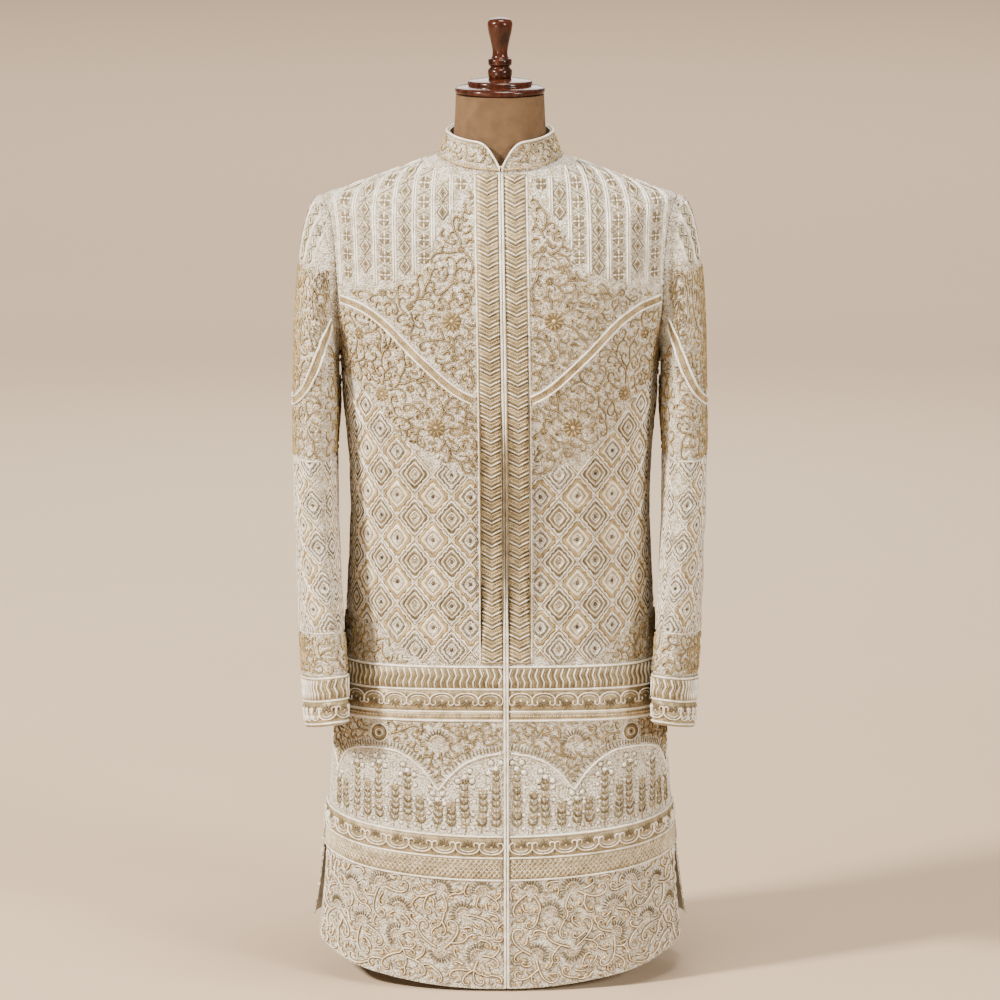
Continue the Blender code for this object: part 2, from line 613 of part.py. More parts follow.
def make_sleeve_bands():
    # Band that runs on from the yoke: down over the front of the sleeve, round its outside and up behind.
    along = np.linspace(-1, 1, 21)
    turns = along * SLEEVE_BAND_END
    levels = SLEEVE_BAND_LOW + SLEEVE_BAND_SWEEP * along**2 + SLEEVE_BAND_CLIMB * along**8
    per_turn = np.linalg.norm(sleeve(turns + 0.01, levels) - sleeve(turns - 0.01, levels), axis=-1) / 0.02
    per_level = np.linalg.norm(sleeve(turns, levels + 0.002) - sleeve(turns, levels - 0.002), axis=-1) / 0.004
    run = np.stack([np.gradient(turns) * per_turn, np.gradient(levels) * per_level])
    run /= np.linalg.norm(run, axis=0)
    half = YOKE_WIDTH / 2
    across = np.array([-half, CORD_HALF - half, 2 * CORD_HALF - half])
    across = np.concatenate([across, -across[::-1]])[:, None]
    levels = levels + across * np.minimum(1 / run[0], SLEEVE_BAND_STEEPEST) / per_level
    turns = np.broadcast_to(turns, levels.shape)
    seat = 3 * TRIM_SEAT
    rise = np.array([BAND_RISE, CORD_RISE, BAND_RISE] * 2)[:, None] + seat
    for side, place in ((1, "left"), (-1, "right")):
        outer = on_sleeve(side, turns, levels, rise)
        wall(f"sleeve_band_{place}", outer, on_sleeve(side, turns, levels, seat), "gold_work")


def collar_reach(along):
    # Share of the collar's height at this distance from the opening, for its rounded tips.
    return 1 - np.clip(1 - along / COLLAR_TIP, 0, 1) ** COLLAR_TIP_POWER


def collar_angles():
    # Angles round the collar, close together at its tips.
    first = float(angle_at(OPENING_X[-1] + COLLAR_GAP, NECK_Z))
    last = float(angle_at(OPENING_X[-1] - COLLAR_GAP, NECK_Z)) + 2 * math.pi
    tips = np.array([0.0, 0.02, 0.05, 0.10, 0.16, 0.24])
    round_back = np.linspace(0.42, 2 * math.pi - 0.42, 19)
    return np.concatenate([first + tips, round_back, last - tips[::-1]])


def make_collar():
    angles = collar_angles()
    along = np.minimum(angles - angles[0], angles[-1] - angles) * COLLAR_TOP.half_width
    reach = np.maximum(collar_reach(along + 0.0012), 0.12)
    rises = np.array([0.0, 0.5, 1.0])[:, None] * reach[None, :]
    outer = on_collar(angles[None, :], rises, 0)
    wall("collar", outer, on_collar(angles[None, :], rises, -COLLAR_WALL), "ivory_embroidered")
    rise = COLLAR_CORD_RADIUS + TRIM_SEAT
    seat = np.concatenate([[0.10], reach - 0.03, [0.10]])
    round_tips = np.concatenate([angles[:1] + 0.006, angles, angles[-1:] - 0.006])
    round_tips[1] += 0.006
    round_tips[-2] -= 0.006
    tube("collar_edge_cord", on_collar(round_tips, seat, rise), COLLAR_CORD_RADIUS, "white_cord")
    low = on_collar(angles[1:-1], 0.05, rise + TRIM_SEAT)
    tube("collar_base_cord", low, COLLAR_CORD_RADIUS, "gold_work")


def make_hook_loop():
    # Small thread loop that closes the collar over the notch.
    centre = collar(angle_at(OPENING_X[-1], NECK_Z), 0.10) + np.array([0.0, -0.0042, 0.0])
    turns = np.linspace(-0.8 * math.pi, 0.8 * math.pi, 9)
    path = centre + np.stack([0.0022 * np.sin(turns), 0 * turns, 0.0030 * np.cos(turns)], axis=1)
    tube("hook_loop", path, 0.0006, "white_cord", sides=5)


def make_form():
    # Smooth body with a neck. It carries the coat on its shoulders and stands clear of it below them.
    around = np.arange(24) * 2 * math.pi / 24
    _, armhole_rows = armhole(ARMHOLE_TURNS)
    heights = (*FORM_ROWS, *armhole_rows[4:], *SHOULDER_ROWS[:2])
    rings = []
    for height in heights:
        inset = float(curve(height, *zip(*FORM_INSET)))
        rings.append(on_body(around, height, -inset - FORM_INSET_MIDDLE * np.cos(around) ** 2))
    bottom = rings[0] * np.array([0.93, 0.93, 0.0]) + np.array([0.0, 0.0, FORM_BOTTOM_Z])
    for ring in NECK_RINGS:
        x, y = oval(around, ring.half_width, ring.front_y, ring.back_y)
        rings.append(np.stack([x, y, np.full(len(around), ring.z)], axis=1))
    stacked("form_body", [bottom, *rings], "taupe_linen", smooth_angle=60)
    turned("neck_cap", CAP_PROFILE, "mahogany", 24)
    turned("finial", FINIAL_PROFILE, "mahogany", 16)


def make_stand():
    base_top = BASE_PROFILE[-1].z
    pole = (
        TurnedPoint(0.0, base_top + SEAM),
        TurnedPoint(POLE_RADIUS, base_top + SEAM),
        TurnedPoint(POLE_RADIUS, FORM_BOTTOM_Z - SEAM),
        TurnedPoint(0.0, FORM_BOTTOM_Z - SEAM),
    )
    turned("stand_pole", pole, "dark_steel", 16)
    turned("stand_base", BASE_PROFILE, "dark_steel", 32)


def main():
    for old in list(bpy.data.objects):
        bpy.data.objects.remove(old, do_unlink=True)
    make_body_panels()
    make_bands("belt", BELT_CORDS)
    make_bands("border", SKIRT_CORDS)
    make_placket()
    make_opening_trim()
    make_yoke_bands()
    make_sleeves()
    make_cuff_bands()
    make_sleeve_bands()
    make_collar()
    make_hook_loop()
    make_form()
    make_stand()


main()
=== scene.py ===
import math
import bmesh
import bpy
import numpy as np
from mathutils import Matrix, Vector


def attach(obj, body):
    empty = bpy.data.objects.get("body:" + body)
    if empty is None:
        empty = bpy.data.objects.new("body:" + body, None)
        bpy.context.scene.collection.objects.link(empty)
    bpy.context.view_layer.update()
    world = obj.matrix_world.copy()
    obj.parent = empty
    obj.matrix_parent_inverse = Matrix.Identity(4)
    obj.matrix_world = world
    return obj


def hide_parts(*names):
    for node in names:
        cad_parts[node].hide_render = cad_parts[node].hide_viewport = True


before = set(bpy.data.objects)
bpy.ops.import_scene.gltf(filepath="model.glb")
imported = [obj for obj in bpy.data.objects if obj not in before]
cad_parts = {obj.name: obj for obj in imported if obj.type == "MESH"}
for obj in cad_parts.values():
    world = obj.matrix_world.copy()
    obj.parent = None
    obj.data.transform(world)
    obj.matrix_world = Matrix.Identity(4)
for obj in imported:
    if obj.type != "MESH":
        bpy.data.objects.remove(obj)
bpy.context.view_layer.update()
print("frame loaded")

# the coat's own sizes, the same as in the part's source
coat = {
    "wall": 0.0018,  # silk with its backing
    "seam": 0.0003,
    "boxiness": 0.12,
    "neck": 1.0270,
    "shoulder": 0.9764,
    "underarm": 0.7830,
    "slitTop": 0.2280,
    "backFlare": 0.0126,
    "armholeHalf": math.radians(21.0),
    "armholeEgg": 0.05,
    "armholeRound": 0.80,
    "biceps": 0.7580,
    "capRise": 0.2200,
    "capStart": 0.40,
    "cuffPitch": 0.20,  # the cuff is square to the forearm, which leans forward
    "pitchLow": 0.3272,
    "pitchTop": 0.5600,
    "capEnd": 1.10,
}
# height at the side line, half width, width of the middle, front height and depth, back height and depth
bodySections = np.array([
    (-0.0170, 0.2360, 0.2360, -0.0170, -0.1530, -0.0170, 0.1450),
    (0.0410, 0.2292, 0.2292, 0.0410, -0.1500, 0.0410, 0.1420),
    (0.1090, 0.2217, 0.2217, 0.1090, -0.1460, 0.1090, 0.1375),
    (0.2190, 0.2151, 0.2151, 0.2190, -0.1385, 0.2190, 0.1300),
    (0.2960, 0.2095, 0.2095, 0.2960, -0.1335, 0.2960, 0.1255),
    (0.3760, 0.1995, 0.1995, 0.3760, -0.1280, 0.3760, 0.1190),
    (0.4660, 0.1915, 0.1915, 0.4660, -0.1215, 0.4660, 0.1085),
    (0.5300, 0.1880, 0.1880, 0.5300, -0.1175, 0.5300, 0.1015),
    (0.5930, 0.1858, 0.1858, 0.5930, -0.1160, 0.5930, 0.0985),
    (0.6580, 0.1880, 0.1880, 0.6580, -0.1185, 0.6580, 0.1010),
    (0.7190, 0.1940, 0.1940, 0.7190, -0.1230, 0.7190, 0.1070),
    (0.7830, 0.1985, 0.1985, 0.7830, -0.1260, 0.7830, 0.1120),
    (0.8530, 0.2150, 0.2040, 0.8380, -0.1265, 0.8450, 0.1150),
    (0.9130, 0.2190, 0.1985, 0.8810, -0.1220, 0.8950, 0.1140),
    (0.9764, 0.2190, 0.1765, 0.9250, -0.1110, 0.9470, 0.1060),
    (0.9900, 0.1800, 0.1560, 0.9490, -0.1010, 0.9710, 0.0960),
    (1.0053, 0.1370, 0.1285, 0.9750, -0.0880, 0.9980, 0.0820),
    (1.0190, 0.0980, 0.0965, 0.9990, -0.0765, 1.0230, 0.0680),
    (1.0270, 0.0757, 0.0757, 1.0135, -0.0700, 1.0340, 0.0600),
])
# height, centre across, centre along, half width, half depth, turn of the section, tilt
sleeveRings = np.array([
    (0.3237, 0.2155, -0.0820, 0.0213, 0.0580, 14.0, 0.10),
    (0.3810, 0.2178, -0.0700, 0.0236, 0.0620, 13.0, 0.08),
    (0.4660, 0.2235, -0.0510, 0.0257, 0.0680, 8.0, 0.05),
    (0.5290, 0.2264, -0.0360, 0.0266, 0.0710, 4.0, 0.03),
    (0.5930, 0.2288, -0.0230, 0.0265, 0.0740, 1.0, 0.00),
    (0.6680, 0.2295, -0.0110, 0.0269, 0.0770, 0.0, 0.00),
    (0.7193, 0.2278, -0.0040, 0.0285, 0.0790, 0.0, 0.00),
    (0.7580, 0.2276, 0.0000, 0.0278, 0.0790, 0.0, 0.00),
])
# level lines round the body: height at the side seams and at the middle
lines = {
    "frontHem": (0.0410, 0.0034),
    "backHem": (0.0615, 0.0280),
    "hemUp": (0.1010, 0.0810),
    "latticeLow": (0.1577, 0.1398),
    "latticeHigh": (0.1817, 0.1675),
    "fanHigh": (0.2103, 0.1942),
    "archFoot": (0.2530, 0.2450),
    "skirtMiddle": (0.2950, 0.2950),
    "beltLow": (0.3321, 0.3391),
    "beadHigh": (0.3423, 0.3504),
    "scrollHigh": (0.3705, 0.3781),
    "beltHigh": (0.3999, 0.4058),
}
opening = {
    "heights": (0.003, 0.593, 1.013),
    "places": (0.0085, 0.0066, 0.0008),
    "inner": 0.0038,  # braid, from the opening line
    "outer": 0.0300,
    "top": 1.0090,
    "pitch": 0.0144,
    "drop": 0.0062,
}
yoke = {
    "places": (0.0300, 0.0490, 0.0980, 0.1490, 0.1740, 0.2050),
    "heights": (0.7310, 0.7400, 0.7810, 0.8300, 0.8440, 0.8510),
    "width": 0.0115,
}
collarTop = (1.0575, 0.0640, 1.0480, -0.0620, 1.0690, 0.0565)


def through(x, xs, ys):
    xs = np.asarray(xs, float)
    ys = np.asarray(ys, float)
    x = np.clip(np.asarray(x, float), xs[0], xs[-1])
    step = np.diff(xs)
    slope = np.diff(ys) / step
    inner = np.zeros(len(xs) - 2)
    same = slope[:-1] * slope[1:] > 0
    inner[same] = 2 * slope[:-1][same] * slope[1:][same] / (slope[:-1] + slope[1:])[same]
    tangent = np.concatenate([slope[:1], inner, slope[-1:]])
    k = np.clip(np.searchsorted(xs, x, side="right") - 1, 0, len(step) - 1)
    t = (x - xs[k]) / step[k]
    start = (1 + 2 * t) * (1 - t) ** 2 * ys[k] + t * (1 - t) ** 2 * step[k] * tangent[k]
    return start + t**2 * (3 - 2 * t) * ys[k + 1] - t**2 * (1 - t) * step[k] * tangent[k + 1]


def sectionValue(column, height):
    return through(height, bodySections[:, 0], bodySections[:, column])


def oval(angle, halfWidth, frontY, backY):
    c = np.cos(angle)
    s = np.sin(angle)
    x = halfWidth * s * (1 + coat["boxiness"] * c**2)
    return x, np.where(c >= 0, frontY, -backY) * c * (1 + coat["boxiness"] * s**2)


# soft creases in the cloth: place as angle and height, reach as angle and height, lean, depth
bodyCreases = (
    (1.30, 0.745, 0.20, 0.014, 0.9, 0.0016), (1.22, 0.700, 0.22, 0.016, 0.7, 0.0012),
    (-1.32, 0.738, 0.22, 0.015, -0.8, 0.0015), (-1.20, 0.690, 0.18, 0.013, -0.6, 0.0011),
    (0.95, 0.560, 0.26, 0.020, 0.4, 0.0010), (-0.90, 0.545, 0.24, 0.021, -0.5, 0.0011),
    (2.05, 0.735, 0.24, 0.017, -0.8, 0.0018), (4.20, 0.742, 0.26, 0.016, 0.9, 0.0017),
    (2.60, 0.560, 0.34, 0.022, -0.3, 0.0014), (3.72, 0.585, 0.36, 0.024, 0.3, 0.0013),
    (1.95, 0.455, 0.20, 0.026, 0.5, 0.0012), (4.40, 0.470, 0.22, 0.024, -0.4, 0.0012),
)
skirtFlutes = (  # angle, half width as an angle, depth at the hem
    (0.45, 0.16, 0.0022), (1.02, 0.14, 0.0030), (-0.52, 0.17, 0.0024), (-1.10, 0.13, 0.0026),
    (2.15, 0.17, 0.0034), (2.75, 0.15, 0.0028), (3.50, 0.17, 0.0030), (4.12, 0.16, 0.0034),
)


def bodyPoint(angle, height):
    angle, height = np.broadcast_arrays(np.asarray(angle, float), np.asarray(height, float))
    c = np.cos(angle)
    share = np.sin(angle) ** 6
    flare = np.where(c < 0, coat["backFlare"] * np.clip(1 - height / coat["slitTop"], 0, 1), 0.0)
    halfWidth = sectionValue(1, height) * share + sectionValue(2, height) * (1 - share) + flare
    x, y = oval(angle, halfWidth, sectionValue(4, height), sectionValue(6, height))
    middle = np.where(c >= 0, sectionValue(3, height), sectionValue(5, height))
    sink = np.zeros(angle.shape)
    for place, level, reach, tall, lean, depth in bodyCreases:
        across = (angle - place + math.pi) % (2 * math.pi) - math.pi
        along = (height - level - lean * 0.10 * across) / tall
        sink = sink + depth * np.exp(-(across / reach) ** 2 - along**2)
    for place, reach, depth in skirtFlutes:
        across = (angle - place + math.pi) % (2 * math.pi) - math.pi
        sink = sink + depth * np.exp(-(across / reach) ** 2) * np.clip(1 - height / 0.30, 0, 1) ** 1.5
    away = np.stack([x * 0.7, y * 1.6, np.zeros(x.shape)], axis=-1)
    away = away / np.maximum(np.linalg.norm(away, axis=-1, keepdims=True), 1e-9)
    return np.stack([x, y, height + (middle - height) * c**2], axis=-1) - sink[..., None] * away


def armhole(turn):
    rise = (1 + np.cos(turn)) / 2
    reach = coat["armholeHalf"] * np.sign(np.sin(turn)) * np.abs(np.sin(turn)) ** coat["armholeRound"]
    reach = reach * (1 - coat["armholeEgg"] * np.cos(turn))
    return math.pi / 2 - reach, coat["underarm"] + (coat["shoulder"] - coat["underarm"]) * rise


def armholeAngle(height, front=True):
    rise = np.clip((height - coat["underarm"]) / (coat["shoulder"] - coat["underarm"]), 0, 1)
    angle, _ = armhole(np.arccos(2 * rise - 1))
    return angle if front else math.pi - angle


sleeveCreases = (  # turn, level, reach as a turn, height, lean, depth
    (0.30, 0.560, 0.75, 0.012, 0.020, 0.0016), (0.10, 0.530, 0.70, 0.011, -0.016, 0.0013),
    (1.20, 0.585, 0.55, 0.013, 0.024, 0.0018), (1.35, 0.548, 0.60, 0.011, 0.010, 0.0016),
    (1.10, 0.508, 0.50, 0.012, -0.018, 0.0013), (-0.80, 0.470, 0.70, 0.014, 0.020, 0.0012),
    (0.60, 0.435, 0.60, 0.013, 0.015, 0.0010), (-0.50, 0.640, 0.80, 0.015, -0.020, 0.0012),
    (-1.30, 0.720, 0.55, 0.013, 0.030, 0.0014), (1.25, 0.712, 0.50, 0.012, -0.030, 0.0014),
)


def sleeveRing(turn, z):
    cx, cy, hw, hd, yaw, tilt = (through(z, sleeveRings[:, 0], sleeveRings[:, k]) for k in range(1, 7))
    c = np.cos(turn)
    s = np.sin(turn)
    across = hw * c * (1 + coat["boxiness"] * s**2)
    along = -hd * s * (1 + coat["boxiness"] * c**2)
    yaw = np.radians(yaw)
    x = cx + across * np.cos(yaw) + along * np.sin(yaw)
    pitch = coat["cuffPitch"] * np.clip((coat["pitchTop"] - z) / (coat["pitchTop"] - coat["pitchLow"]), 0, 1)
    return np.stack([x, cy - across * np.sin(yaw) + along * np.cos(yaw), z - tilt * across - pitch * along], axis=-1)


def sleevePoint(turn, level):
    turn, level = np.broadcast_arrays(np.asarray(turn, float), np.asarray(level, float))
    t = np.clip((level - coat["biceps"]) / coat["capRise"], 0, 1)[..., None]
    ring = sleeveRing(turn, np.minimum(level, coat["biceps"]))
    outward = np.stack([np.full(turn.shape, 0.9), -0.55 * np.sin(turn), 0.6 * np.cos(turn) - 0.35], axis=-1)
    outward = outward / np.linalg.norm(outward, axis=-1, keepdims=True)
    seam = bodyPoint(*armhole(turn)) + 1.5 * coat["seam"] * outward
    chord = np.linalg.norm(seam - sleeveRing(turn, np.full(turn.shape, coat["biceps"])), axis=-1, keepdims=True)
    up = np.zeros(turn.shape + (3,))
    up[..., 2] = 1.0
    rise = coat["capEnd"] * chord * up
    pull = coat["capStart"] * chord * -outward
    start = (1 + 2 * t) * (1 - t) ** 2 * ring + t * (1 - t) ** 2 * rise
    point = start + t**2 * (3 - 2 * t) * seam - t**2 * (1 - t) * pull
    sink = np.zeros(turn.shape)
    for place, height, reach, tall, lean, depth in sleeveCreases:
        around = (turn - place + math.pi) % (2 * math.pi) - math.pi
        sink = sink + depth * np.exp(-(around / reach) ** 2 - ((level - height - lean * around) / tall) ** 2)
    away = np.stack([0.9 * np.cos(turn), -np.sin(turn), 0 * turn], axis=-1)
    return point - sink[..., None] * away


def collarPoint(angle, rise):
    angle, rise = np.broadcast_arrays(np.asarray(angle, float), np.asarray(rise, float))
    base = bodyPoint(angle, coat["neck"]) + np.array([0.0, 0.0, coat["seam"]])
    sideZ, halfWidth, frontZ, frontY, backZ, backY = collarTop
    x, y = oval(angle, halfWidth, frontY, backY)
    middle = np.where(np.cos(angle) >= 0, frontZ, backZ)
    top = np.stack([x, y, sideZ + (middle - sideZ) * np.cos(angle) ** 2], axis=-1)
    return base + (top - base) * rise[..., None]


def lifted(surface, u, v, lift, outward=1):
    u, v, lift = np.broadcast_arrays(np.asarray(u, float), np.asarray(v, float), np.asarray(lift, float))
    small = 1e-4
    across = surface(u + small, v) - surface(u - small, v)
    upward = surface(u, v + small) - surface(u, v - small)
    normal = outward * np.cross(across, upward)
    normal /= np.linalg.norm(normal, axis=-1, keepdims=True)
    return surface(u, v) + lift[..., None] * normal


def openingX(height):
    return through(height, opening["heights"], opening["places"])


def angleAt(x, height):
    angle = np.zeros(np.shape(np.asarray(x) * height))
    for _ in range(5):
        share = np.sin(angle) ** 6
        width = sectionValue(1, height) * share + sectionValue(2, height) * (1 - share)
        angle = np.arcsin(np.clip(x / (width * (1 + coat["boxiness"] * np.cos(angle) ** 2)), -1, 1))
    return angle


# finishes
finishes = {}


def setInputs(node, values):
    for label, value in values.items():
        node.inputs[label].default_value = value
    return node


def nodeGroup(name, inputs, outputs):
    group = bpy.data.node_groups.new(name, "ShaderNodeTree")
    for label, kind, value in inputs:
        socket = group.interface.new_socket(name=label, in_out="INPUT", socket_type=kind)
        socket.default_value = value
    for label, kind in outputs:
        group.interface.new_socket(name=label, in_out="OUTPUT", socket_type=kind)
    return group, group.nodes.new("NodeGroupInput"), group.nodes.new("NodeGroupOutput")


def makeThreadGroup():
    # painted glints and painted shade: colour mixed by noise between a lit and a shaded tone from stitch to stitch,
    # with the stitches' own bump
    inputs = (("Light", "NodeSocketColor", (1, 1, 1, 1)), ("Dark", "NodeSocketColor", (0, 0, 0, 1)),
              ("Stitch", "NodeSocketFloat", 700.0), ("Depth", "NodeSocketFloat", 0.5))
    group, start, end = nodeGroup("threadShimmer", inputs, (("Color", "NodeSocketColor"),
                                                            ("Rough", "NodeSocketFloat"),
                                                            ("Normal", "NodeSocketVector")))
    nodes, links = group.nodes, group.links
    place = nodes.new("ShaderNodeTexCoord")
    fine = nodes.new("ShaderNodeTexNoise")
    wide = setInputs(nodes.new("ShaderNodeTexNoise"), {"Scale": 90.0})
    fine.inputs["Detail"].default_value = 2.0
    links.new(place.outputs["Object"], fine.inputs["Vector"])
    links.new(place.outputs["Object"], wide.inputs["Vector"])
    links.new(start.outputs["Stitch"], fine.inputs["Scale"])
    total = nodes.new("ShaderNodeMath")
    total.operation = "ADD"
    links.new(fine.outputs["Fac"], total.inputs[0])
    links.new(wide.outputs["Fac"], total.inputs[1])
    ramp = setInputs(nodes.new("ShaderNodeMapRange"), {"From Min": 0.75, "From Max": 1.25})
    links.new(total.outputs[0], ramp.inputs["Value"])
    mix = nodes.new("ShaderNodeMix")
    mix.data_type = "RGBA"
    links.new(ramp.outputs["Result"], mix.inputs["Factor"])
    links.new(start.outputs["Dark"], mix.inputs["A"])
    links.new(start.outputs["Light"], mix.inputs["B"])
    rough = setInputs(nodes.new("ShaderNodeMapRange"), {"To Min": 0.62, "To Max": 0.34})
    links.new(fine.outputs["Fac"], rough.inputs["Value"])
    bump = setInputs(nodes.new("ShaderNodeBump"), {"Distance": 0.0006})
    links.new(start.outputs["Depth"], bump.inputs["Strength"])
    links.new(fine.outputs["Fac"], bump.inputs["Height"])
    links.new(mix.outputs["Result"], end.inputs["Color"])
    links.new(rough.outputs["Result"], end.inputs["Rough"])
    links.new(bump.outputs["Normal"], end.inputs["Normal"])
    return group


threadGroup = makeThreadGroup()


def newFinish(name):
    made = bpy.data.materials.new(name)
    made.use_nodes = True
    nodes = made.node_tree.nodes
    finishes[name] = made
    return nodes, made.node_tree.links, nodes["Principled BSDF"]


def threadFinish(name, light, dark, stitch=700.0, depth=0.5, metallic=0.0, sheen=0.0, coatWeight=0.0):
    nodes, links, shader = newFinish(name)
    group = nodes.new("ShaderNodeGroup")
    group.node_tree = threadGroup
    setInputs(group, {"Light": (*light, 1), "Dark": (*dark, 1), "Stitch": stitch, "Depth": depth})
    links.new(group.outputs["Color"], shader.inputs["Base Color"])
    links.new(group.outputs["Rough"], shader.inputs["Roughness"])
    links.new(group.outputs["Normal"], shader.inputs["Normal"])
    setInputs(shader, {"Metallic": metallic, "Sheen Weight": sheen, "Coat Weight": coatWeight})


# each thread's light tone is a painted highlight and its dark tone a painted shade of its colour, mixed at random over
# the stitches
threadFinish("whiteThread", (0.95, 0.91, 0.83), (0.60, 0.52, 0.39), sheen=0.15)
threadFinish("goldThread", (0.51, 0.37, 0.175), (0.19, 0.13, 0.05), metallic=0.25)
# a dark gold laid wider under paler cords: their gold-brown edge colour, darkened further as painted shade along the
# cord's edges
threadFinish("bronzeThread", (0.36, 0.235, 0.085), (0.13, 0.08, 0.025), metallic=0.20)
threadFinish("silverThread", (0.25, 0.20, 0.105), (0.09, 0.07, 0.03), metallic=0.15)
threadFinish("oliveThread", (0.42, 0.33, 0.19), (0.17, 0.125, 0.06), stitch=520.0, depth=0.8, metallic=0.20)
# the shade thread is painted shade: a dark thread laid under and beside cords, rings and motifs where their shadow
# falls; on fan, heart and sprig leaves it is their dark colour
threadFinish("shadeThread", (0.20, 0.145, 0.07), (0.08, 0.055, 0.022), depth=0.6, metallic=0.10)
threadFinish("paleThread", (0.78, 0.68, 0.50), (0.44, 0.35, 0.21), depth=0.7, metallic=0.10)
threadFinish("goldBead", (0.72, 0.53, 0.26), (0.30, 0.195, 0.08), stitch=400.0, metallic=0.4, coatWeight=0.3)
threadFinish("mirrorGlass", (0.18, 0.125, 0.075), (0.03, 0.02, 0.01), stitch=260.0, depth=0.1, metallic=0.7,
             coatWeight=0.8)


def silkFinish(name, light, dark, stitchDepth, weaveScale=900.0):
    # ivory silk: fine weave, and where it is worked, a ground of close seed stitches, darkened towards the edge of each
    # stitch as painted shade between them, with patches of random tone
    nodes, links, shader = newFinish(name)
    place = nodes.new("ShaderNodeTexCoord")
    seeds = setInputs(nodes.new("ShaderNodeTexVoronoi"), {"Scale": 420.0})
    links.new(place.outputs["Object"], seeds.inputs["Vector"])
    patches = setInputs(nodes.new("ShaderNodeTexNoise"), {"Scale": 120.0, "Detail": 3.0})
    links.new(place.outputs["Object"], patches.inputs["Vector"])
    weave = setInputs(nodes.new("ShaderNodeTexWave"), {"Scale": weaveScale, "Distortion": 0.6})
    links.new(place.outputs["UV"], weave.inputs["Vector"])
    # painted shade: darker the farther a point lies from the middle of its seed stitch
    gapShade = setInputs(nodes.new("ShaderNodeMapRange"), {"From Min": 0.0, "From Max": 0.9})
    links.new(seeds.outputs["Distance"], gapShade.inputs["Value"])
    total = nodes.new("ShaderNodeMath")
    total.operation = "MULTIPLY_ADD"
    total.inputs[1].default_value = 0.75
    links.new(gapShade.outputs["Result"], total.inputs[0])
    links.new(patches.outputs["Fac"], total.inputs[2])
    ramp = setInputs(nodes.new("ShaderNodeMapRange"), {"From Min": 0.55, "From Max": 1.15})
    links.new(total.outputs[0], ramp.inputs["Value"])
    mix = nodes.new("ShaderNodeMix")
    mix.data_type = "RGBA"
    setInputs(mix, {"A": (*light, 1), "B": (*dark, 1)})
    links.new(ramp.outputs["Result"], mix.inputs["Factor"])
    links.new(mix.outputs["Result"], shader.inputs["Base Color"])
    weaveBump = setInputs(nodes.new("ShaderNodeBump"), {"Strength": 0.25, "Distance": 0.0003})
    links.new(weave.outputs["Fac"], weaveBump.inputs["Height"])
    seedBump = nodes.new("ShaderNodeBump")
    seedBump.invert = True
    setInputs(seedBump, {"Strength": stitchDepth, "Distance": 0.0012})
    links.new(seeds.outputs["Distance"], seedBump.inputs["Height"])
    links.new(weaveBump.outputs["Normal"], seedBump.inputs["Normal"])
    links.new(seedBump.outputs["Normal"], shader.inputs["Normal"])
    setInputs(shader, {"Roughness": 0.55, "Sheen Weight": 0.2, "Sheen Roughness": 0.4})


# the dark tone of the worked silk is painted shade between its seed stitches
silkFinish("workedSilk", (0.92, 0.88, 0.79), (0.34, 0.27, 0.165), 1.9)
silkFinish("plainSilk", (0.80, 0.76, 0.67), (0.72, 0.67, 0.57), 0.05)


def linenFinish():
    nodes, links, shader = newFinish("taupeLinen")
    place = nodes.new("ShaderNodeTexCoord")
    height = nodes.new("ShaderNodeMath")
    height.operation = "ADD"
    for axis, direction in ((0, "X"), (1, "Z")):
        weave = nodes.new("ShaderNodeTexWave")
        weave.bands_direction = direction
        setInputs(weave, {"Scale": 260.0, "Distortion": 2.5, "Detail": 2.0, "Detail Scale": 3.0})
        links.new(place.outputs["Object"], weave.inputs["Vector"])
        links.new(weave.outputs["Fac"], height.inputs[axis])
    slub = setInputs(nodes.new("ShaderNodeTexNoise"), {"Scale": 60.0, "Detail": 6.0})
    links.new(place.outputs["Object"], slub.inputs["Vector"])
    total = nodes.new("ShaderNodeMath")
    total.operation = "MULTIPLY_ADD"
    total.inputs[1].default_value = 0.25
    links.new(height.outputs[0], total.inputs[0])
    links.new(slub.outputs["Fac"], total.inputs[2])
    ramp = setInputs(nodes.new("ShaderNodeMapRange"), {"From Min": 0.5, "From Max": 1.0})
    links.new(total.outputs[0], ramp.inputs["Value"])
    mix = nodes.new("ShaderNodeMix")
    mix.data_type = "RGBA"
    setInputs(mix, {"A": (0.085, 0.043, 0.015, 1), "B": (0.150, 0.082, 0.033, 1)})
    links.new(ramp.outputs["Result"], mix.inputs["Factor"])
    links.new(mix.outputs["Result"], shader.inputs["Base Color"])
    bump = setInputs(nodes.new("ShaderNodeBump"), {"Strength": 0.5, "Distance": 0.0006})
    links.new(height.outputs[0], bump.inputs["Height"])
    links.new(bump.outputs["Normal"], shader.inputs["Normal"])
    shader.inputs["Roughness"].default_value = 0.85


def woodFinish():
    nodes, links, shader = newFinish("polishedWood")
    place = nodes.new("ShaderNodeTexCoord")
    stretch = setInputs(nodes.new("ShaderNodeMapping"), {"Scale": (60, 60, 9)})
    links.new(place.outputs["Object"], stretch.inputs["Vector"])
    grain = setInputs(nodes.new("ShaderNodeTexNoise"), {"Scale": 2.2, "Detail": 8.0, "Roughness": 0.65})
    links.new(stretch.outputs["Vector"], grain.inputs["Vector"])
    ramp = nodes.new("ShaderNodeValToRGB")
    ramp.color_ramp.elements[0].position = 0.35
    ramp.color_ramp.elements[0].color = (0.010, 0.0030, 0.0018, 1)
    ramp.color_ramp.elements[1].position = 0.72
    ramp.color_ramp.elements[1].color = (0.075, 0.018, 0.007, 1)
    links.new(grain.outputs["Fac"], ramp.inputs["Fac"])
    links.new(ramp.outputs["Color"], shader.inputs["Base Color"])
    setInputs(shader, {"Roughness": 0.22, "Coat Weight": 0.15, "Specular IOR Level": 0.2,
                       "Coat Roughness": 0.04})


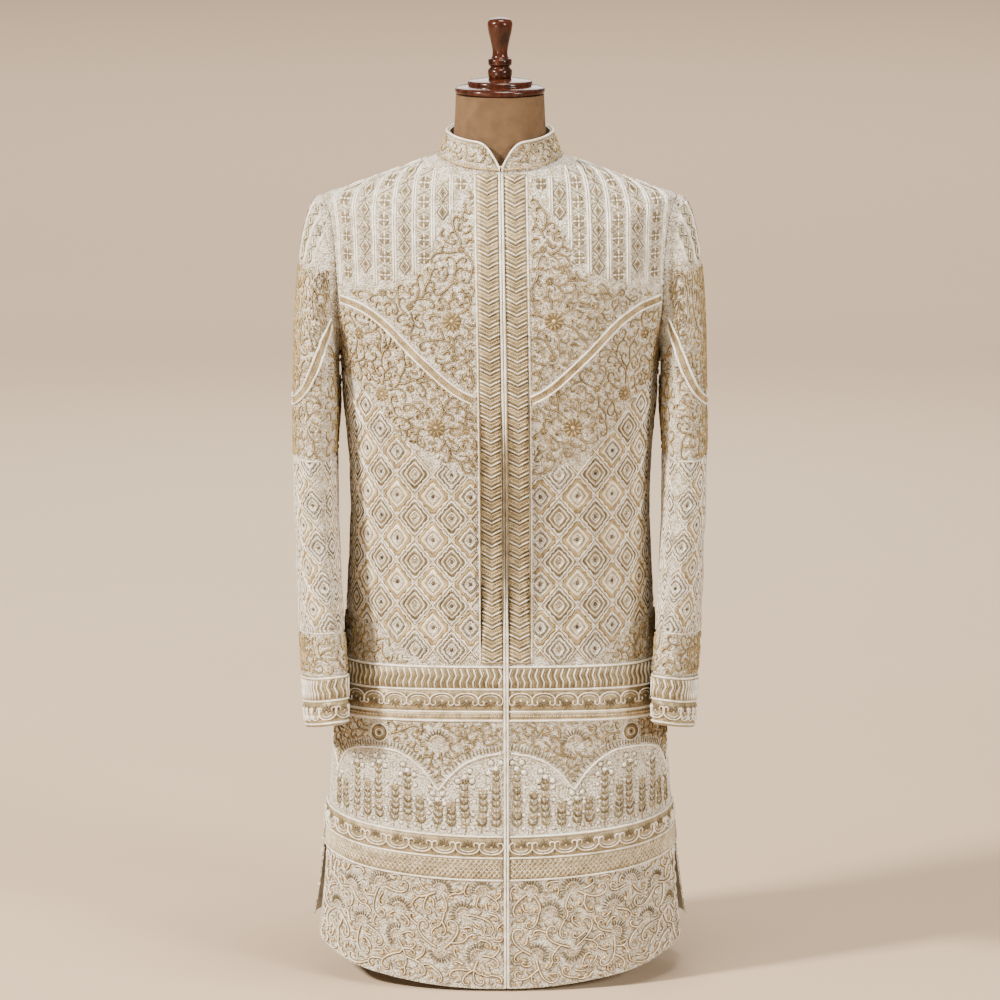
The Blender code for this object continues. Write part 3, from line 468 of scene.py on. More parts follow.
def steelFinish():
    nodes, links, shader = newFinish("darkSteel")
    place = nodes.new("ShaderNodeTexCoord")
    speckle = setInputs(nodes.new("ShaderNodeTexNoise"), {"Scale": 500.0})
    links.new(place.outputs["Object"], speckle.inputs["Vector"])
    ramp = setInputs(nodes.new("ShaderNodeMapRange"), {"To Min": 0.35, "To Max": 0.55})
    links.new(speckle.outputs["Fac"], ramp.inputs["Value"])
    links.new(ramp.outputs["Result"], shader.inputs["Roughness"])
    bump = setInputs(nodes.new("ShaderNodeBump"), {"Strength": 0.15, "Distance": 0.0003})
    links.new(speckle.outputs["Fac"], bump.inputs["Height"])
    links.new(bump.outputs["Normal"], shader.inputs["Normal"])
    setInputs(shader, {"Base Color": (0.045, 0.043, 0.042, 1), "Metallic": 0.7})


def floorFinish():
    # warm pale paper with a faint mottle, painted lighter towards the far side as painted light on the far floor
    nodes, links, shader = newFinish("paleFloor")
    place = nodes.new("ShaderNodeTexCoord")
    mottle = setInputs(nodes.new("ShaderNodeTexNoise"), {"Scale": 1.2})
    links.new(place.outputs["Object"], mottle.inputs["Vector"])
    mix = nodes.new("ShaderNodeMix")
    mix.data_type = "RGBA"
    setInputs(mix, {"A": (0.46, 0.345, 0.232, 1), "B": (0.52, 0.39, 0.265, 1)})
    links.new(mottle.outputs["Fac"], mix.inputs["Factor"])
    # painted light: the colour grows lighter with distance along y, up to a bright far tone
    split = nodes.new("ShaderNodeSeparateXYZ")
    links.new(place.outputs["Object"], split.inputs["Vector"])
    away = setInputs(nodes.new("ShaderNodeMapRange"), {"From Min": 0.5, "From Max": 6.0})
    links.new(split.outputs["Y"], away.inputs["Value"])
    far = nodes.new("ShaderNodeMix")
    far.data_type = "RGBA"
    far.inputs["B"].default_value = (1.0, 0.79, 0.58, 1)
    links.new(away.outputs["Result"], far.inputs["Factor"])
    links.new(mix.outputs["Result"], far.inputs["A"])
    links.new(far.outputs["Result"], shader.inputs["Base Color"])
    shader.inputs["Roughness"].default_value = 0.9


linenFinish()
woodFinish()
steelFinish()
floorFinish()
print("finishes ready")


# pattern grounds: a flat plan of each surface, in metres along the cloth
def makeGround(pointAt, angles, heights, levels, target, step=0.004, reach=0.31):
    # target(level, angle) is the real height of a level line. Places are counted along the line from angle zero
    raw = pointAt(angles[None, :], heights[:, None])
    wanted = target(levels[:, None], angles[None, :])
    h = np.empty(wanted.shape)
    for j in range(len(angles)):
        h[:, j] = np.interp(wanted[:, j], raw[:, j, 2], heights)
    points = pointAt(angles[None, :], h)
    run = np.linalg.norm(np.diff(points, axis=1), axis=2)
    arc = np.concatenate([np.zeros((len(levels), 1)), np.cumsum(run, axis=1)], axis=1)
    arc -= arc[:, len(angles) // 2][:, None]
    places = np.arange(-reach, reach + step / 2, step)
    grid = np.empty((len(levels), len(places), 3))
    plan = np.empty((len(levels), len(places), 2))
    for k in range(len(levels)):
        for axis in range(3):
            grid[k, :, axis] = np.interp(places, arc[k], points[k, :, axis])
        plan[k, :, 0] = np.interp(places, arc[k], angles)
        plan[k, :, 1] = np.interp(places, arc[k], h[k])
    return {"levels": levels, "places": places, "grid": grid, "plan": plan, "pointAt": pointAt, "arc": arc,
            "angles": angles, "heights": h}


def finishGround(ground, outward):
    ground["outward"] = outward
    plan = ground["plan"]
    ground["grid"] = ground["pointAt"](plan[..., 0], plan[..., 1])
    ground["normals"] = lifted(ground["pointAt"], plan[..., 0], plan[..., 1], 1.0, outward) - ground["grid"]
    return ground


def onGround(ground, place, level, lift):
    places, levels = ground["places"], ground["levels"]
    u = np.clip((place - places[0]) / (places[1] - places[0]), 0, len(places) - 1.001)
    v = np.clip((level - levels[0]) / (levels[1] - levels[0]), 0, len(levels) - 1.001)
    i, j = u.astype(int), v.astype(int)
    fu, fv = (u - i)[:, None], (v - j)[:, None]

    def blend(table):
        low = table[j, i] * (1 - fu) + table[j, i + 1] * fu
        return low * (1 - fv) + (table[j + 1, i] * (1 - fu) + table[j + 1, i + 1] * fu) * fv

    return blend(ground["grid"]) + lift[:, None] * blend(ground["normals"])


lineOrder = ("hemUp", "latticeLow", "latticeHigh", "fanHigh", "archFoot", "skirtMiddle", "beltLow", "beadHigh",
             "scrollHigh", "beltHigh")


def lineTarget(hem):
    sides = [lines[hem][0] - 0.02] + [lines[hem][0]] + [lines[n][0] for n in lineOrder] + [0.435, 1.06]
    middles = [lines[hem][1] - 0.02] + [lines[hem][1]] + [lines[n][1] for n in lineOrder] + [0.435, 1.06]

    def target(level, angle):
        side = np.interp(level, middles, sides)
        return side + (level - side) * np.cos(angle) ** 2

    return target


bodyHeights = np.linspace(-0.017, coat["neck"], 240)
bodyLevels = np.arange(-0.008, 1.046, 0.004)
frontGround = finishGround(makeGround(bodyPoint, np.linspace(-1.62, 1.62, 163), bodyHeights, bodyLevels,
                                      lineTarget("frontHem")), 1)
backGround = finishGround(makeGround(bodyPoint, math.pi + np.linspace(-1.62, 1.62, 163), bodyHeights, bodyLevels,
                                     lineTarget("backHem")), 1)
sleeveLevels = np.arange(0.314, 0.982, 0.004)
turnsAll = np.linspace(-math.pi - 0.02, math.pi + 0.02, 161)


def sleeveGround(turns, middle=0.0):
    points = sleevePoint(middle - turns[None, :], sleeveLevels[:, None])
    run = np.linalg.norm(np.diff(points, axis=1), axis=2)
    arc = np.concatenate([np.zeros((len(sleeveLevels), 1)), np.cumsum(run, axis=1)], axis=1)
    arc -= arc[:, len(turns) // 2][:, None]
    places = np.arange(-0.152, 0.1521, 0.004)
    plan = np.empty((len(sleeveLevels), len(places), 2))
    for k in range(len(sleeveLevels)):
        plan[k, :, 0] = middle - np.interp(places, arc[k], turns)
        plan[k, :, 1] = sleeveLevels[k]
    return finishGround({"levels": sleeveLevels, "places": places, "plan": plan, "pointAt": sleevePoint,
                         "arc": arc, "angles": turns}, -1)


outerSleeve = sleeveGround(turnsAll)
innerSleeve = sleeveGround(np.linspace(-1.4, 1.4, 81), math.pi)
print("grounds ready")


# embroidery: strands and beads are laid out on the flat plan and then set on the cloth
def newWork(ground):
    return {"ground": ground, "points": [], "quads": [], "triangles": [], "quadFinish": [], "triangleFinish": [],
            "count": 0, "finishes": []}


def finishIndex(work, finish):
    if finish not in work["finishes"]:
        work["finishes"].append(finish)
    return work["finishes"].index(finish)


def addStrand(work, path, width, height, finish, seat=0.0, closed=False, rounded=False):
    path = np.asarray(path, float)
    n = len(path)
    if n < 2:
        return
    if closed:
        ahead = np.roll(path, -1, axis=0) - np.roll(path, 1, axis=0)
    else:
        ahead = np.gradient(path, axis=0)
    length = np.maximum(np.linalg.norm(ahead, axis=1, keepdims=True), 1e-9)
    side = np.stack([-ahead[:, 1], ahead[:, 0]], axis=1) / length
    half = np.broadcast_to(np.asarray(width, float) / 2, (n,))
    rise = np.broadcast_to(np.asarray(height, float), (n,))
    if rounded:
        profile = ((1.0, -0.25), (0.8, 0.6), (0.0, 1.0), (-0.8, 0.6), (-1.0, -0.25))
    else:
        profile = ((1.0, -0.25), (0.0, 1.0), (-1.0, -0.25))
    m = len(profile)
    points = np.empty((n, m, 3))
    for k, (across, up) in enumerate(profile):
        points[:, k, :2] = path + side * (half * across)[:, None]
        points[:, k, 2] = seat + (rise * up if up > 0 else -0.0003)
    first = work["count"]
    work["points"].append(points.reshape(-1, 3))
    work["count"] += n * m
    rows = np.arange(n if closed else n - 1)
    after = (rows + 1) % n
    index = finishIndex(work, finish)
    for k in range(m):
        j = (k + 1) % m
        quads = np.stack([rows * m + k, rows * m + j, after * m + j, after * m + k], axis=1) + first
        work["quads"].append(quads)
        work["quadFinish"].append(np.full(len(quads), index))
    if not closed:
        for row, turned in ((0, True), (n - 1, False)):
            for k in range(1, m - 1):
                corner = [row * m, row * m + k, row * m + k + 1]
                corner = corner[::-1] if turned else corner
                work["triangles"].append(np.array([corner]) + first)
                work["triangleFinish"].append(np.array([index]))


def addBeads(work, centres, radius, height, finish, seat=0.0, sides=5, stretch=1.0, turn=0.0):
    # low domes, one at each centre. stretch and turn make ovals of them
    centres = np.asarray(centres, float).reshape(-1, 2)
    n = len(centres)
    if n == 0:
        return
    radius = np.broadcast_to(np.asarray(radius, float), (n,))
    turn = np.broadcast_to(np.asarray(turn, float), (n,))
    ring = np.arange(sides) * 2 * math.pi / sides
    x = np.cos(ring)[None, :] * radius[:, None] * stretch
    y = np.sin(ring)[None, :] * radius[:, None]
    across = x * np.cos(turn)[:, None] - y * np.sin(turn)[:, None]
    along = x * np.sin(turn)[:, None] + y * np.cos(turn)[:, None]
    m = sides + 1
    points = np.empty((n, m, 3))
    points[:, :sides, 0] = centres[:, :1] + across
    points[:, :sides, 1] = centres[:, 1:] + along
    points[:, :sides, 2] = seat
    points[:, sides, :2] = centres
    points[:, sides, 2] = seat + height
    first = work["count"]
    work["points"].append(points.reshape(-1, 3))
    work["count"] += n * m
    index = finishIndex(work, finish)
    base = np.arange(n)[:, None] * m + first
    for k in range(sides):
        j = (k + 1) % sides
        work["triangles"].append(np.concatenate([base + k, base + j, base + sides], axis=1))
        work["triangleFinish"].append(np.full(n, index))
    for k in range(1, sides - 1):
        work["triangles"].append(np.concatenate([base, base + k + 1, base + k], axis=1))
        work["triangleFinish"].append(np.full(n, index))


def runsInside(path, inside):
    keep = inside(path[:, 0], path[:, 1])
    runs = []
    start = None
    for k, good in enumerate(keep):
        if good and start is None:
            start = k
        if not good and start is not None:
            runs.append(path[start:k])
            start = None
    if start is not None:
        runs.append(path[start:])
    return [run for run in runs if len(run) >= 2]


def cord(work, path, width, height, finish, inside=None, seat=0.0, rounded=False):
    path = np.asarray(path, float)
    for run in [path] if inside is None else runsInside(path, inside):
        addStrand(work, run, width, height, finish, seat, rounded=rounded)


def leaf(work, foot, direction, length, width, finish, height=0.0010, bend=0.0, seat=0.0):
    t = np.array([0.0, 0.3, 0.65, 1.0])
    direction = direction + bend * (t - 0.3)
    path = np.asarray(foot) + np.stack([np.cos(direction), np.sin(direction)], axis=1) * (t * length)[:, None]
    addStrand(work, path, width * np.array([0.25, 1.0, 0.8, 0.06]), height * np.array([0.5, 1.0, 0.9, 0.3]), finish,
              seat)


def ringPath(centre, radius, sides=12, squash=1.0, start=0.0, sweep=2 * math.pi):
    full = abs(sweep - 2 * math.pi) < 1e-6
    t = start + np.linspace(0, sweep, sides, endpoint=not full)
    return np.asarray(centre) + np.stack([radius * np.cos(t), radius * squash * np.sin(t)], axis=1)


def daisy(work, centre, radius, petals, finish, seat=0.0, heart="goldBead", turn=0.0):
    for k in range(petals):
        angle = turn + k * 2 * math.pi / petals
        foot = np.asarray(centre) + 0.25 * radius * np.array([math.cos(angle), math.sin(angle)])
        leaf(work, foot, angle, radius * 0.78, radius * 0.32, finish, 0.0013, seat=seat)
    addBeads(work, [centre], radius * 0.26, 0.0020, heart, seat, sides=7)


def wavyDiamond(centre, halfWidth, halfHeight, wave, bumps=3, perSide=8):
    corners = np.array([(1, 0), (0, 1), (-1, 0), (0, -1)]) * np.array([halfWidth, halfHeight])
    path = []
    for k in range(4):
        a, b = corners[k], corners[(k + 1) % 4]
        t = np.arange(perSide) / perSide
        along = a + (b - a) * t[:, None]
        out = (a + b) / np.linalg.norm(a + b)
        reach = wave * np.sin(bumps * math.pi * t) ** 2 * np.where(t > 0, 1, 0)
        path.append(along + out * reach[:, None])
    return np.asarray(centre) + np.concatenate(path)


def diamondMotif(work, centre, halfWidth, halfHeight, kind, inside=None, seat=0.0, scale=1.0):
    # concentric wavy rings round a small mirror
    if inside is not None and not inside(np.array([centre[0]]), np.array([centre[1]]))[0]:
        return
    # the rings in shade thread are painted shade between the white rings
    rings = {
        "gold": ((0.90, 0.0022, "whiteThread"), (0.735, 0.0048, "goldThread"), (0.55, 0.0027, "whiteThread"),
                 (0.41, 0.0016, "shadeThread"), (0.28, 0.0018, "whiteThread")),
        "white": ((0.91, 0.0018, "goldThread"), (0.77, 0.0024, "whiteThread"), (0.65, 0.0015, "shadeThread"),
                  (0.53, 0.0022, "whiteThread"), (0.40, 0.0015, "shadeThread"), (0.28, 0.0017, "whiteThread")),
    }[kind]
    path = wavyDiamond(centre, halfWidth * 0.5, halfHeight * 0.5, 0.0, 1, 3)
    if inside is None or inside(*(2 * path - centre).T * 0.97 + np.array([centre]).T * 0.03).all():
        addStrand(work, path, halfWidth * 0.72, 0.0006, "paleThread" if kind == "gold" else "oliveThread", seat,
                  closed=True)
    for share, width, finish in rings:
        bumps = 3 if share > 0.5 else 1
        steps = 8 if share > 0.6 else 4
        path = wavyDiamond(centre, halfWidth * share, halfHeight * share, 0.0024 * share, bumps, steps)
        path = np.concatenate([path, path[:1]])
        if inside is None:
            addStrand(work, path[:-1], width * scale, 0.0014, finish, seat, closed=True)
            continue
        runs = runsInside(path, inside)
        if len(runs) == 1 and len(runs[0]) == len(path):
            addStrand(work, path[:-1], width * scale, 0.0014, finish, seat, closed=True)
        else:
            for run in runs:
                addStrand(work, run, width * scale, 0.0014, finish, seat)
    addBeads(work, [centre], 0.0029 * scale, 0.0009, "mirrorGlass" if (centre[0] * 977) % 1 > 0.3 else "oliveThread",
             seat, sides=6, stretch=0.9)


def makeLattice(work, inside, halfWidth, halfHeight, origin, spanPlaces, spanLevels, scale=1.0, seat=0.0):
    for row in range(int((spanLevels[0] - origin[1]) / halfHeight) - 1,
                     int((spanLevels[1] - origin[1]) / halfHeight) + 2):
        for column in range(int((spanPlaces[0] - origin[0]) / halfWidth) - 1,
                            int((spanPlaces[1] - origin[0]) / halfWidth) + 2):
            if (row + column) % 2:
                continue
            centre = (origin[0] + column * halfWidth, origin[1] + row * halfHeight)
            diamondMotif(work, centre, halfWidth, halfHeight, "gold" if row % 2 == 0 else "white", inside, seat, scale)
    # straight cords between the diamonds
    for direction in (1, -1):
        for k in range(-60, 61):
            t = np.arange(spanPlaces[0], spanPlaces[1], 0.004)
            level = origin[1] + halfHeight * (direction * (t - origin[0]) / halfWidth + 2 * k + 1)
            good = (level > spanLevels[0]) & (level < spanLevels[1])
            if good.sum() > 2:
                path = np.stack([t, level], axis=1)[good]
                # a wide dark gold cord under the white one: its gold edges, with painted shade along them
                cord(work, path, 0.0046 * scale, 0.0008, "bronzeThread", inside, seat)
                cord(work, path, 0.0020 * scale, 0.0017, "whiteThread", inside, seat)


# free places on a plan, in cells of 1 mm
def newField(places, levels, inside):
    shape = (int((levels[1] - levels[0]) * 1000) + 1, int((places[1] - places[0]) * 1000) + 1)
    y, x = np.meshgrid(levels[0] + np.arange(shape[0]) / 1000, places[0] + np.arange(shape[1]) / 1000, indexing="ij")
    taken = ~inside(x.ravel(), y.ravel()).reshape(shape)
    return {"low": np.array([places[0], levels[0]]), "taken": taken}


def fieldCells(field, path):
    cells = np.rint((path - field["low"]) * 1000).astype(int)
    rows, columns = field["taken"].shape
    inside = (cells[:, 0] >= 0) & (cells[:, 0] < columns) & (cells[:, 1] >= 0) & (cells[:, 1] < rows)
    return cells, inside


def markField(field, path, radius):
    r = int(math.ceil(radius * 1000))
    dx, dy = np.meshgrid(np.arange(-r, r + 1), np.arange(-r, r + 1))
    disk = dx**2 + dy**2 <= (radius * 1000) ** 2
    offsets = np.stack([dx[disk], dy[disk]], axis=1)
    cells, _ = fieldCells(field, path)
    cells = (cells[:, None, :] + offsets[None, :, :]).reshape(-1, 2)
    rows, columns = field["taken"].shape
    good = (cells[:, 0] >= 0) & (cells[:, 0] < columns) & (cells[:, 1] >= 0) & (cells[:, 1] < rows)
    field["taken"][cells[good, 1], cells[good, 0]] = True


def isFree(field, path):
    cells, good = fieldCells(field, path)
    return bool(good.all() and not field["taken"][cells[:, 1], cells[:, 0]].any())


def curl(start, heading, length, hand, ease, tight):
    # a tendril that leaves its stem gently and winds up at its end
    n = max(9, int(length / 0.0028))
    t = (np.arange(n) + 0.5) / n
    bend = hand * (ease + (tight - ease) * t**2.2)
    angles = heading + np.concatenate([[0], np.cumsum(bend) * length / n])
    steps = np.stack([np.cos(angles[:-1]), np.sin(angles[:-1])], axis=1) * (length / n)
    return np.asarray(start) + np.concatenate([[[0, 0]], np.cumsum(steps, axis=0)]), angles


def growVines(work, field, seeds, style, randomSeed):
    # tendrils grow from the seeds and from each other until the space between them is used up
    chance = np.random.default_rng(randomSeed)
    buds = [(np.asarray(p, float), a) for p, a in seeds]
    gap = style["gap"]
    seat = style.get("seat", 0.0)
    made = 0
    low = field["low"]
    free = np.argwhere(~field["taken"])[:, ::-1] / 1000 + low
    for _ in range(int(len(free) / 5)):
        if not buds or chance.random() < 0.10:
            spot = free[chance.integers(len(free))]
            if isFree(field, spot[None, :]):
                buds.append((spot, chance.random() * 2 * math.pi))
            continue
        k = chance.integers(len(buds))
        point, heading = buds[k]
        done = False
        for size in style["sizes"]:
            for hand in ((1, -1) if chance.random() < 0.5 else (-1, 1)):
                turn = heading + chance.uniform(-0.35, 0.35)
                path, angles = curl(point, turn, size, hand, 0.35 / size, style["tight"] * style["sizes"][0] / size)
                skip = int(gap * 1.15 / (size / (len(path) - 1))) + 1
                if len(path) - skip < 4 or not isFree(field, path[skip:]):
                    continue
                done = True
                break
            if done:
                break
        buds.pop(k)
        if not done:
            small = point + np.array([math.cos(heading), math.sin(heading)]) * (gap + 0.0016)
            if isFree(field, small[None, :]) and style.get("leaf"):
                leaf(work, point + 0.3 * (small - point), heading, style["leaf"], style["leaf"] * 0.36,
                     style["leafFinish"][int(chance.integers(len(style["leafFinish"])))], bend=chance.uniform(-0.5, 0.5),
                     seat=seat)
                markField(field, small[None, :], gap * 0.75)
            continue
        made += 1
        markField(field, path, gap)
        n = len(path)
        width = style["width"] * np.linspace(1.0, 0.72, n)
        # the wide strand under the core shows as a dark edge: painted shade along the cord where the style's finish is
        # the shade thread
        addStrand(work, path, width, style["height"], style["finish"], seat)
        if style.get("core"):
            addStrand(work, path, width * style["share"], style["height"] * 1.6, style["core"], seat)
        addBeads(work, path[-1:], style["width"] * 0.55, style["height"] * 1.8, style.get("tip", style["finish"]), seat, 6)
        stride = style["stride"] / (size / (n - 1))
        for place in np.arange(stride, n * 0.72, stride):
            i = int(place)
            outer = angles[i] - hand * (0.85 + 0.25 * chance.random())
            buds.append((path[i], outer))
            if chance.random() < 0.15:
                buds.append((path[i], angles[i] + hand * 0.9))
    return made


def seal(work, name, mirror=False, replaced=(), stretch=None):
    # sets the flat work on its cloth and makes one piece of it
    flat = np.concatenate(work["points"])
    if stretch is not None:
        flat[:, 0] *= stretch(flat[:, 1])
    points = onGround(work["ground"], flat[:, 0], flat[:, 1], flat[:, 2])
    quads = np.concatenate(work["quads"]) if work["quads"] else np.zeros((0, 4), int)
    triangles = np.concatenate(work["triangles"]) if work["triangles"] else np.zeros((0, 3), int)
    if mirror:
        points = points * np.array([-1, 1, 1])
        quads = quads[:, ::-1]
        triangles = triangles[:, ::-1]
    finish = np.concatenate([np.concatenate(work["quadFinish"]) if work["quadFinish"] else np.zeros(0, int),
                             np.concatenate(work["triangleFinish"]) if work["triangleFinish"] else np.zeros(0, int)])
    starts = np.concatenate([np.arange(len(quads)) * 4, len(quads) * 4 + np.arange(len(triangles)) * 3])
    mesh = bpy.data.meshes.new(name)
    mesh.vertices.add(len(points))
    mesh.vertices.foreach_set("co", points.astype(np.float32).ravel())
    mesh.loops.add(len(quads) * 4 + len(triangles) * 3)
    mesh.loops.foreach_set("vertex_index", np.concatenate([quads.ravel(), triangles.ravel()]).astype(np.int32))
    mesh.polygons.add(len(quads) + len(triangles))
    mesh.polygons.foreach_set("loop_start", starts.astype(np.int32))
    mesh.polygons.foreach_set("material_index", finish.astype(np.int32))
    mesh.update(calc_edges=True)
    mesh.validate()
    for name2 in work["finishes"]:
        mesh.materials.append(finishes[name2])
    mesh.shade_smooth()
    piece = bpy.data.objects.new(name, mesh)
    bpy.context.scene.collection.objects.link(piece)
    if replaced:
        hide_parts(*replaced)
    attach(piece, "root")
    print(name, len(quads) * 2 + len(triangles), "triangles")
    return piece


def wallPiece(name, outer, inner, places, replaced=(), outside="workedSilk", inside="plainSilk"):
    # a closed thin shell between two grids of points, with its plan as the UV map
    rows, columns = outer.shape[:2]
    points = np.concatenate([outer.reshape(-1, 3), inner.reshape(-1, 3)])
    index = np.arange(rows * columns).reshape(rows, columns)
    face = np.stack([index[:-1, :-1], index[:-1, 1:], index[1:, 1:], index[1:, :-1]], axis=-1).reshape(-1, 4)
    far = index + rows * columns
    back = np.stack([far[:-1, :-1], far[1:, :-1], far[1:, 1:], far[:-1, 1:]], axis=-1).reshape(-1, 4)
    rim = np.concatenate([index[0, :], index[1:, -1], index[-1, -2::-1], index[-2:0:-1, 0]])
    after = np.roll(rim, -1)
    edge = np.stack([rim, rim + rows * columns, after + rows * columns, after], axis=1)
    faces = np.concatenate([face, edge, back])
    mesh = bpy.data.meshes.new(name)
    mesh.from_pydata(points.tolist(), [], faces.tolist())
    uv = mesh.uv_layers.new(name="cloth")
    flat = np.concatenate([places.reshape(-1, 2)] * 2)
    loops = np.empty(len(mesh.loops), np.int32)
    mesh.loops.foreach_get("vertex_index", loops)
    uv.data.foreach_set("uv", flat[loops].astype(np.float32).ravel())
    mesh.materials.append(finishes[outside])
    mesh.materials.append(finishes[inside])
    mesh.polygons.foreach_set("material_index", np.concatenate(
        [np.zeros(len(face) + len(edge)), np.ones(len(back))]).astype(np.int32))
    work = bmesh.new()
    work.from_mesh(mesh)
    bmesh.ops.recalc_face_normals(work, faces=work.faces)
    work.to_mesh(mesh)
    work.free()
    mesh.shade_smooth()
    mesh.set_sharp_from_angle(angle=math.radians(45))
    piece = bpy.data.objects.new(name, mesh)
    bpy.context.scene.collection.objects.link(piece)
    if replaced:
        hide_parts(*replaced)
    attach(piece, "root")
    return piece


def outerArea(piece):
    areas = np.empty(len(piece.data.polygons), np.float32)
    piece.data.polygons.foreach_get("area", areas)
    return float(areas.sum()) / 2


def declareCloth(piece, flat):
    area = min(outerArea(piece), 1.0 * flat[0] * flat[1])
    print(piece.name, "cloth", round(area, 4), "of", round(flat[0] * flat[1], 4))


# where each part of the pattern lies
def planHeight(ground, place, level):
    places, levels = ground["places"], ground["levels"]
    i = np.clip(np.rint((place - places[0]) / (places[1] - places[0])).astype(int), 0, len(places) - 1)
    j = np.clip(np.rint((level - levels[0]) / (levels[1] - levels[0])).astype(int), 0, len(levels) - 1)
    return ground["plan"][j, i, 0], ground["plan"][j, i, 1]


def edgeTable(ground, front):
    # how far along each level line the panel reaches before its side seam or the armhole
    turned = ground["angles"] if front else ground["angles"] - math.pi
    limit = armholeAngle(ground["heights"], True)
    reach = []
    for k in range(len(ground["levels"])):
        good = np.abs(turned) <= np.minimum(limit[k], math.pi / 2)
        good &= turned >= 0
        last = np.nonzero(good)[0][-1]
        reach.append(ground["arc"][k, last])
    return np.array(reach)


frontEdge = edgeTable(frontGround, True)
backEdge = edgeTable(backGround, False)


def onFront(side, margin=0.004, low=0.0, high=2.0, fromOpening=0.0):
    # test for places on one front, with its distance q from the opening
    def inside(place, level):
        q = side * (place - openingX(level))
        _, height = planHeight(frontGround, place, level)
        edge = np.interp(level, frontGround["levels"], frontEdge)
        corner = 0.0034 + 0.011 * np.clip((side * place - edge + 0.018) / 0.018, 0, 1) ** 2
        return ((q > fromOpening) & (side * place < edge - margin) & (level > np.maximum(low, corner + 0.003))
                & (level < high) & (height < 1.0215))
    return inside


def onBack(margin=0.004, low=0.0, high=2.0):
    def inside(place, level):
        _, height = planHeight(backGround, place, level)
        edge = np.interp(level, backGround["levels"], backEdge)
        return (np.abs(place) < edge - margin) & (level > max(low, 0.0325)) & (level < high) & (height < 1.0225)
    return inside


def both(*tests):
    def inside(place, level):
        good = tests[0](place, level)
        for test in tests[1:]:
            good = good & test(place, level)
        return good
    return inside


def yokeLine(ground):
    q = np.linspace(0.028, 0.245, 45)
    level = np.full(q.shape, 0.80)
    for _ in range(10):
        x = onGround(ground, q, level, np.zeros(q.shape))[:, 0]
        level = through(np.abs(x), yoke["places"], yoke["heights"])
    return q, level


yokePlaces, yokeLevels = yokeLine(frontGround)
yokeBackPlaces, yokeBackLevels = yokeLine(backGround)
zones = {
    "wedgePlaces": (0.0, 0.036, 0.043, 0.062, 0.0774, 0.0896, 0.104, 0.130, 0.160, 0.197, 0.228, 0.30),
    "wedgeLevels": (1.05, 1.00, 0.986, 0.958, 0.941, 0.906, 0.891, 0.880, 0.874, 0.868, 0.866, 0.866),
    "latticePlaces": (0.0, 0.033, 0.080, 0.129, 0.152, 0.185, 0.23, 0.30),
    "latticeLevels": (0.639, 0.639, 0.6616, 0.689, 0.720, 0.745, 0.765, 0.77),
    "archPlaces": (0.0, 0.028, 0.048, 0.0675, 0.0847, 0.102, 0.1225, 0.143, 0.166, 0.192, 0.213, 0.226, 0.236,
                   0.262, 0.30),
    "archLevels": (0.2995, 0.2943, 0.2867, 0.2712, 0.2500, 0.2735, 0.2901, 0.2985, 0.2995, 0.2968, 0.2893, 0.2765,
                   0.2596, 0.2900, 0.2990),
}


def between(lower, upper, center=openingX):
    # lower and upper are tables (places, levels) counted from the opening, or plain levels
    def value(line, q):
        return np.interp(q, *line) if isinstance(line, tuple) else line

    def inside(place, level):
        q = np.abs(place - center(level))
        return (level > value(lower, q)) & (level < value(upper, q))
    return inside


def raised(line, by):
    return (np.asarray(line[0]), np.asarray(line[1]) + by)


wedge = (zones["wedgePlaces"], zones["wedgeLevels"])
latticeTop = (zones["latticePlaces"], zones["latticeLevels"])
arch = (zones["archPlaces"], zones["archLevels"])
yokeTable = (yokePlaces, yokeLevels)
yokeBackTable = (yokeBackPlaces, yokeBackLevels)
cornerSpray = ((0.0, 0.105, 0.165, 0.30), (0.40, 0.4058, 0.446, 0.47))

# in the vines the wide strand under the core is painted shade along each cord's edges; in the hem it is a dark gold
# edge with painted shade
chestVine = {"sizes": (0.036, 0.028, 0.021, 0.014), "tight": 440.0, "gap": 0.0033, "width": 0.0037, "height": 0.0014,
             "finish": "shadeThread", "core": "goldThread", "share": 0.60, "stride": 0.0084, "leaf": 0.0066,
             "leafFinish": ("goldThread", "silverThread", "goldThread"), "tip": "goldBead"}
skirtVine = {**chestVine, "sizes": (0.032, 0.026, 0.019, 0.013), "leafFinish": ("goldThread", "silverThread")}
hemVine = {"sizes": (0.060, 0.048, 0.036, 0.025, 0.017), "tight": 290.0, "gap": 0.0044, "width": 0.0060,
           "height": 0.0014, "finish": "bronzeThread", "core": "whiteThread", "share": 0.42, "stride": 0.0125, "leaf": 0.0085,
           "leafFinish": ("silverThread", "goldThread", "silverThread"), "tip": "goldBead"}
sleeveVine = {**chestVine, "sizes": (0.032, 0.025, 0.018, 0.013)}
denseVine = {**chestVine, "sizes": (0.026, 0.020, 0.014), "tight": 420.0, "gap": 0.0031, "width": 0.0030,
             "height": 0.0015, "leaf": 0.0050}


def scatterSeeds(work, field, pitch, randomSeed, finish="whiteThread", size=0.0026):
    # short white stitches over what is still free
    chance = np.random.default_rng(randomSeed)
    low = field["low"]
    rows, columns = field["taken"].shape
    x = np.arange(low[0], low[0] + columns / 1000, pitch)
    y = np.arange(low[1], low[1] + rows / 1000, pitch)
    spots = np.stack(np.meshgrid(x, y), axis=-1).reshape(-1, 2)
    spots = spots + chance.uniform(-0.35, 0.35, spots.shape) * pitch
    cells, good = fieldCells(field, spots)
    cells = np.clip(cells, 0, [columns - 1, rows - 1])
    good &= ~field["taken"][cells[:, 1], cells[:, 0]]
    spots = spots[good]
    addBeads(work, spots, size * 0.38, 0.0006, finish, 0.0, 4, 1.7, chance.uniform(0, math.pi, len(spots)))


def groundShadeDisc(work, centre, radius, finish, seat=0.0):
    # a low dark disc under a motif: in the shade thread it is painted shade round the motif, in other threads a ground
    # for it
    addStrand(work, ringPath(centre, radius * 0.5, 9), radius * 0.95, 0.0006, finish, seat, closed=True, rounded=True)


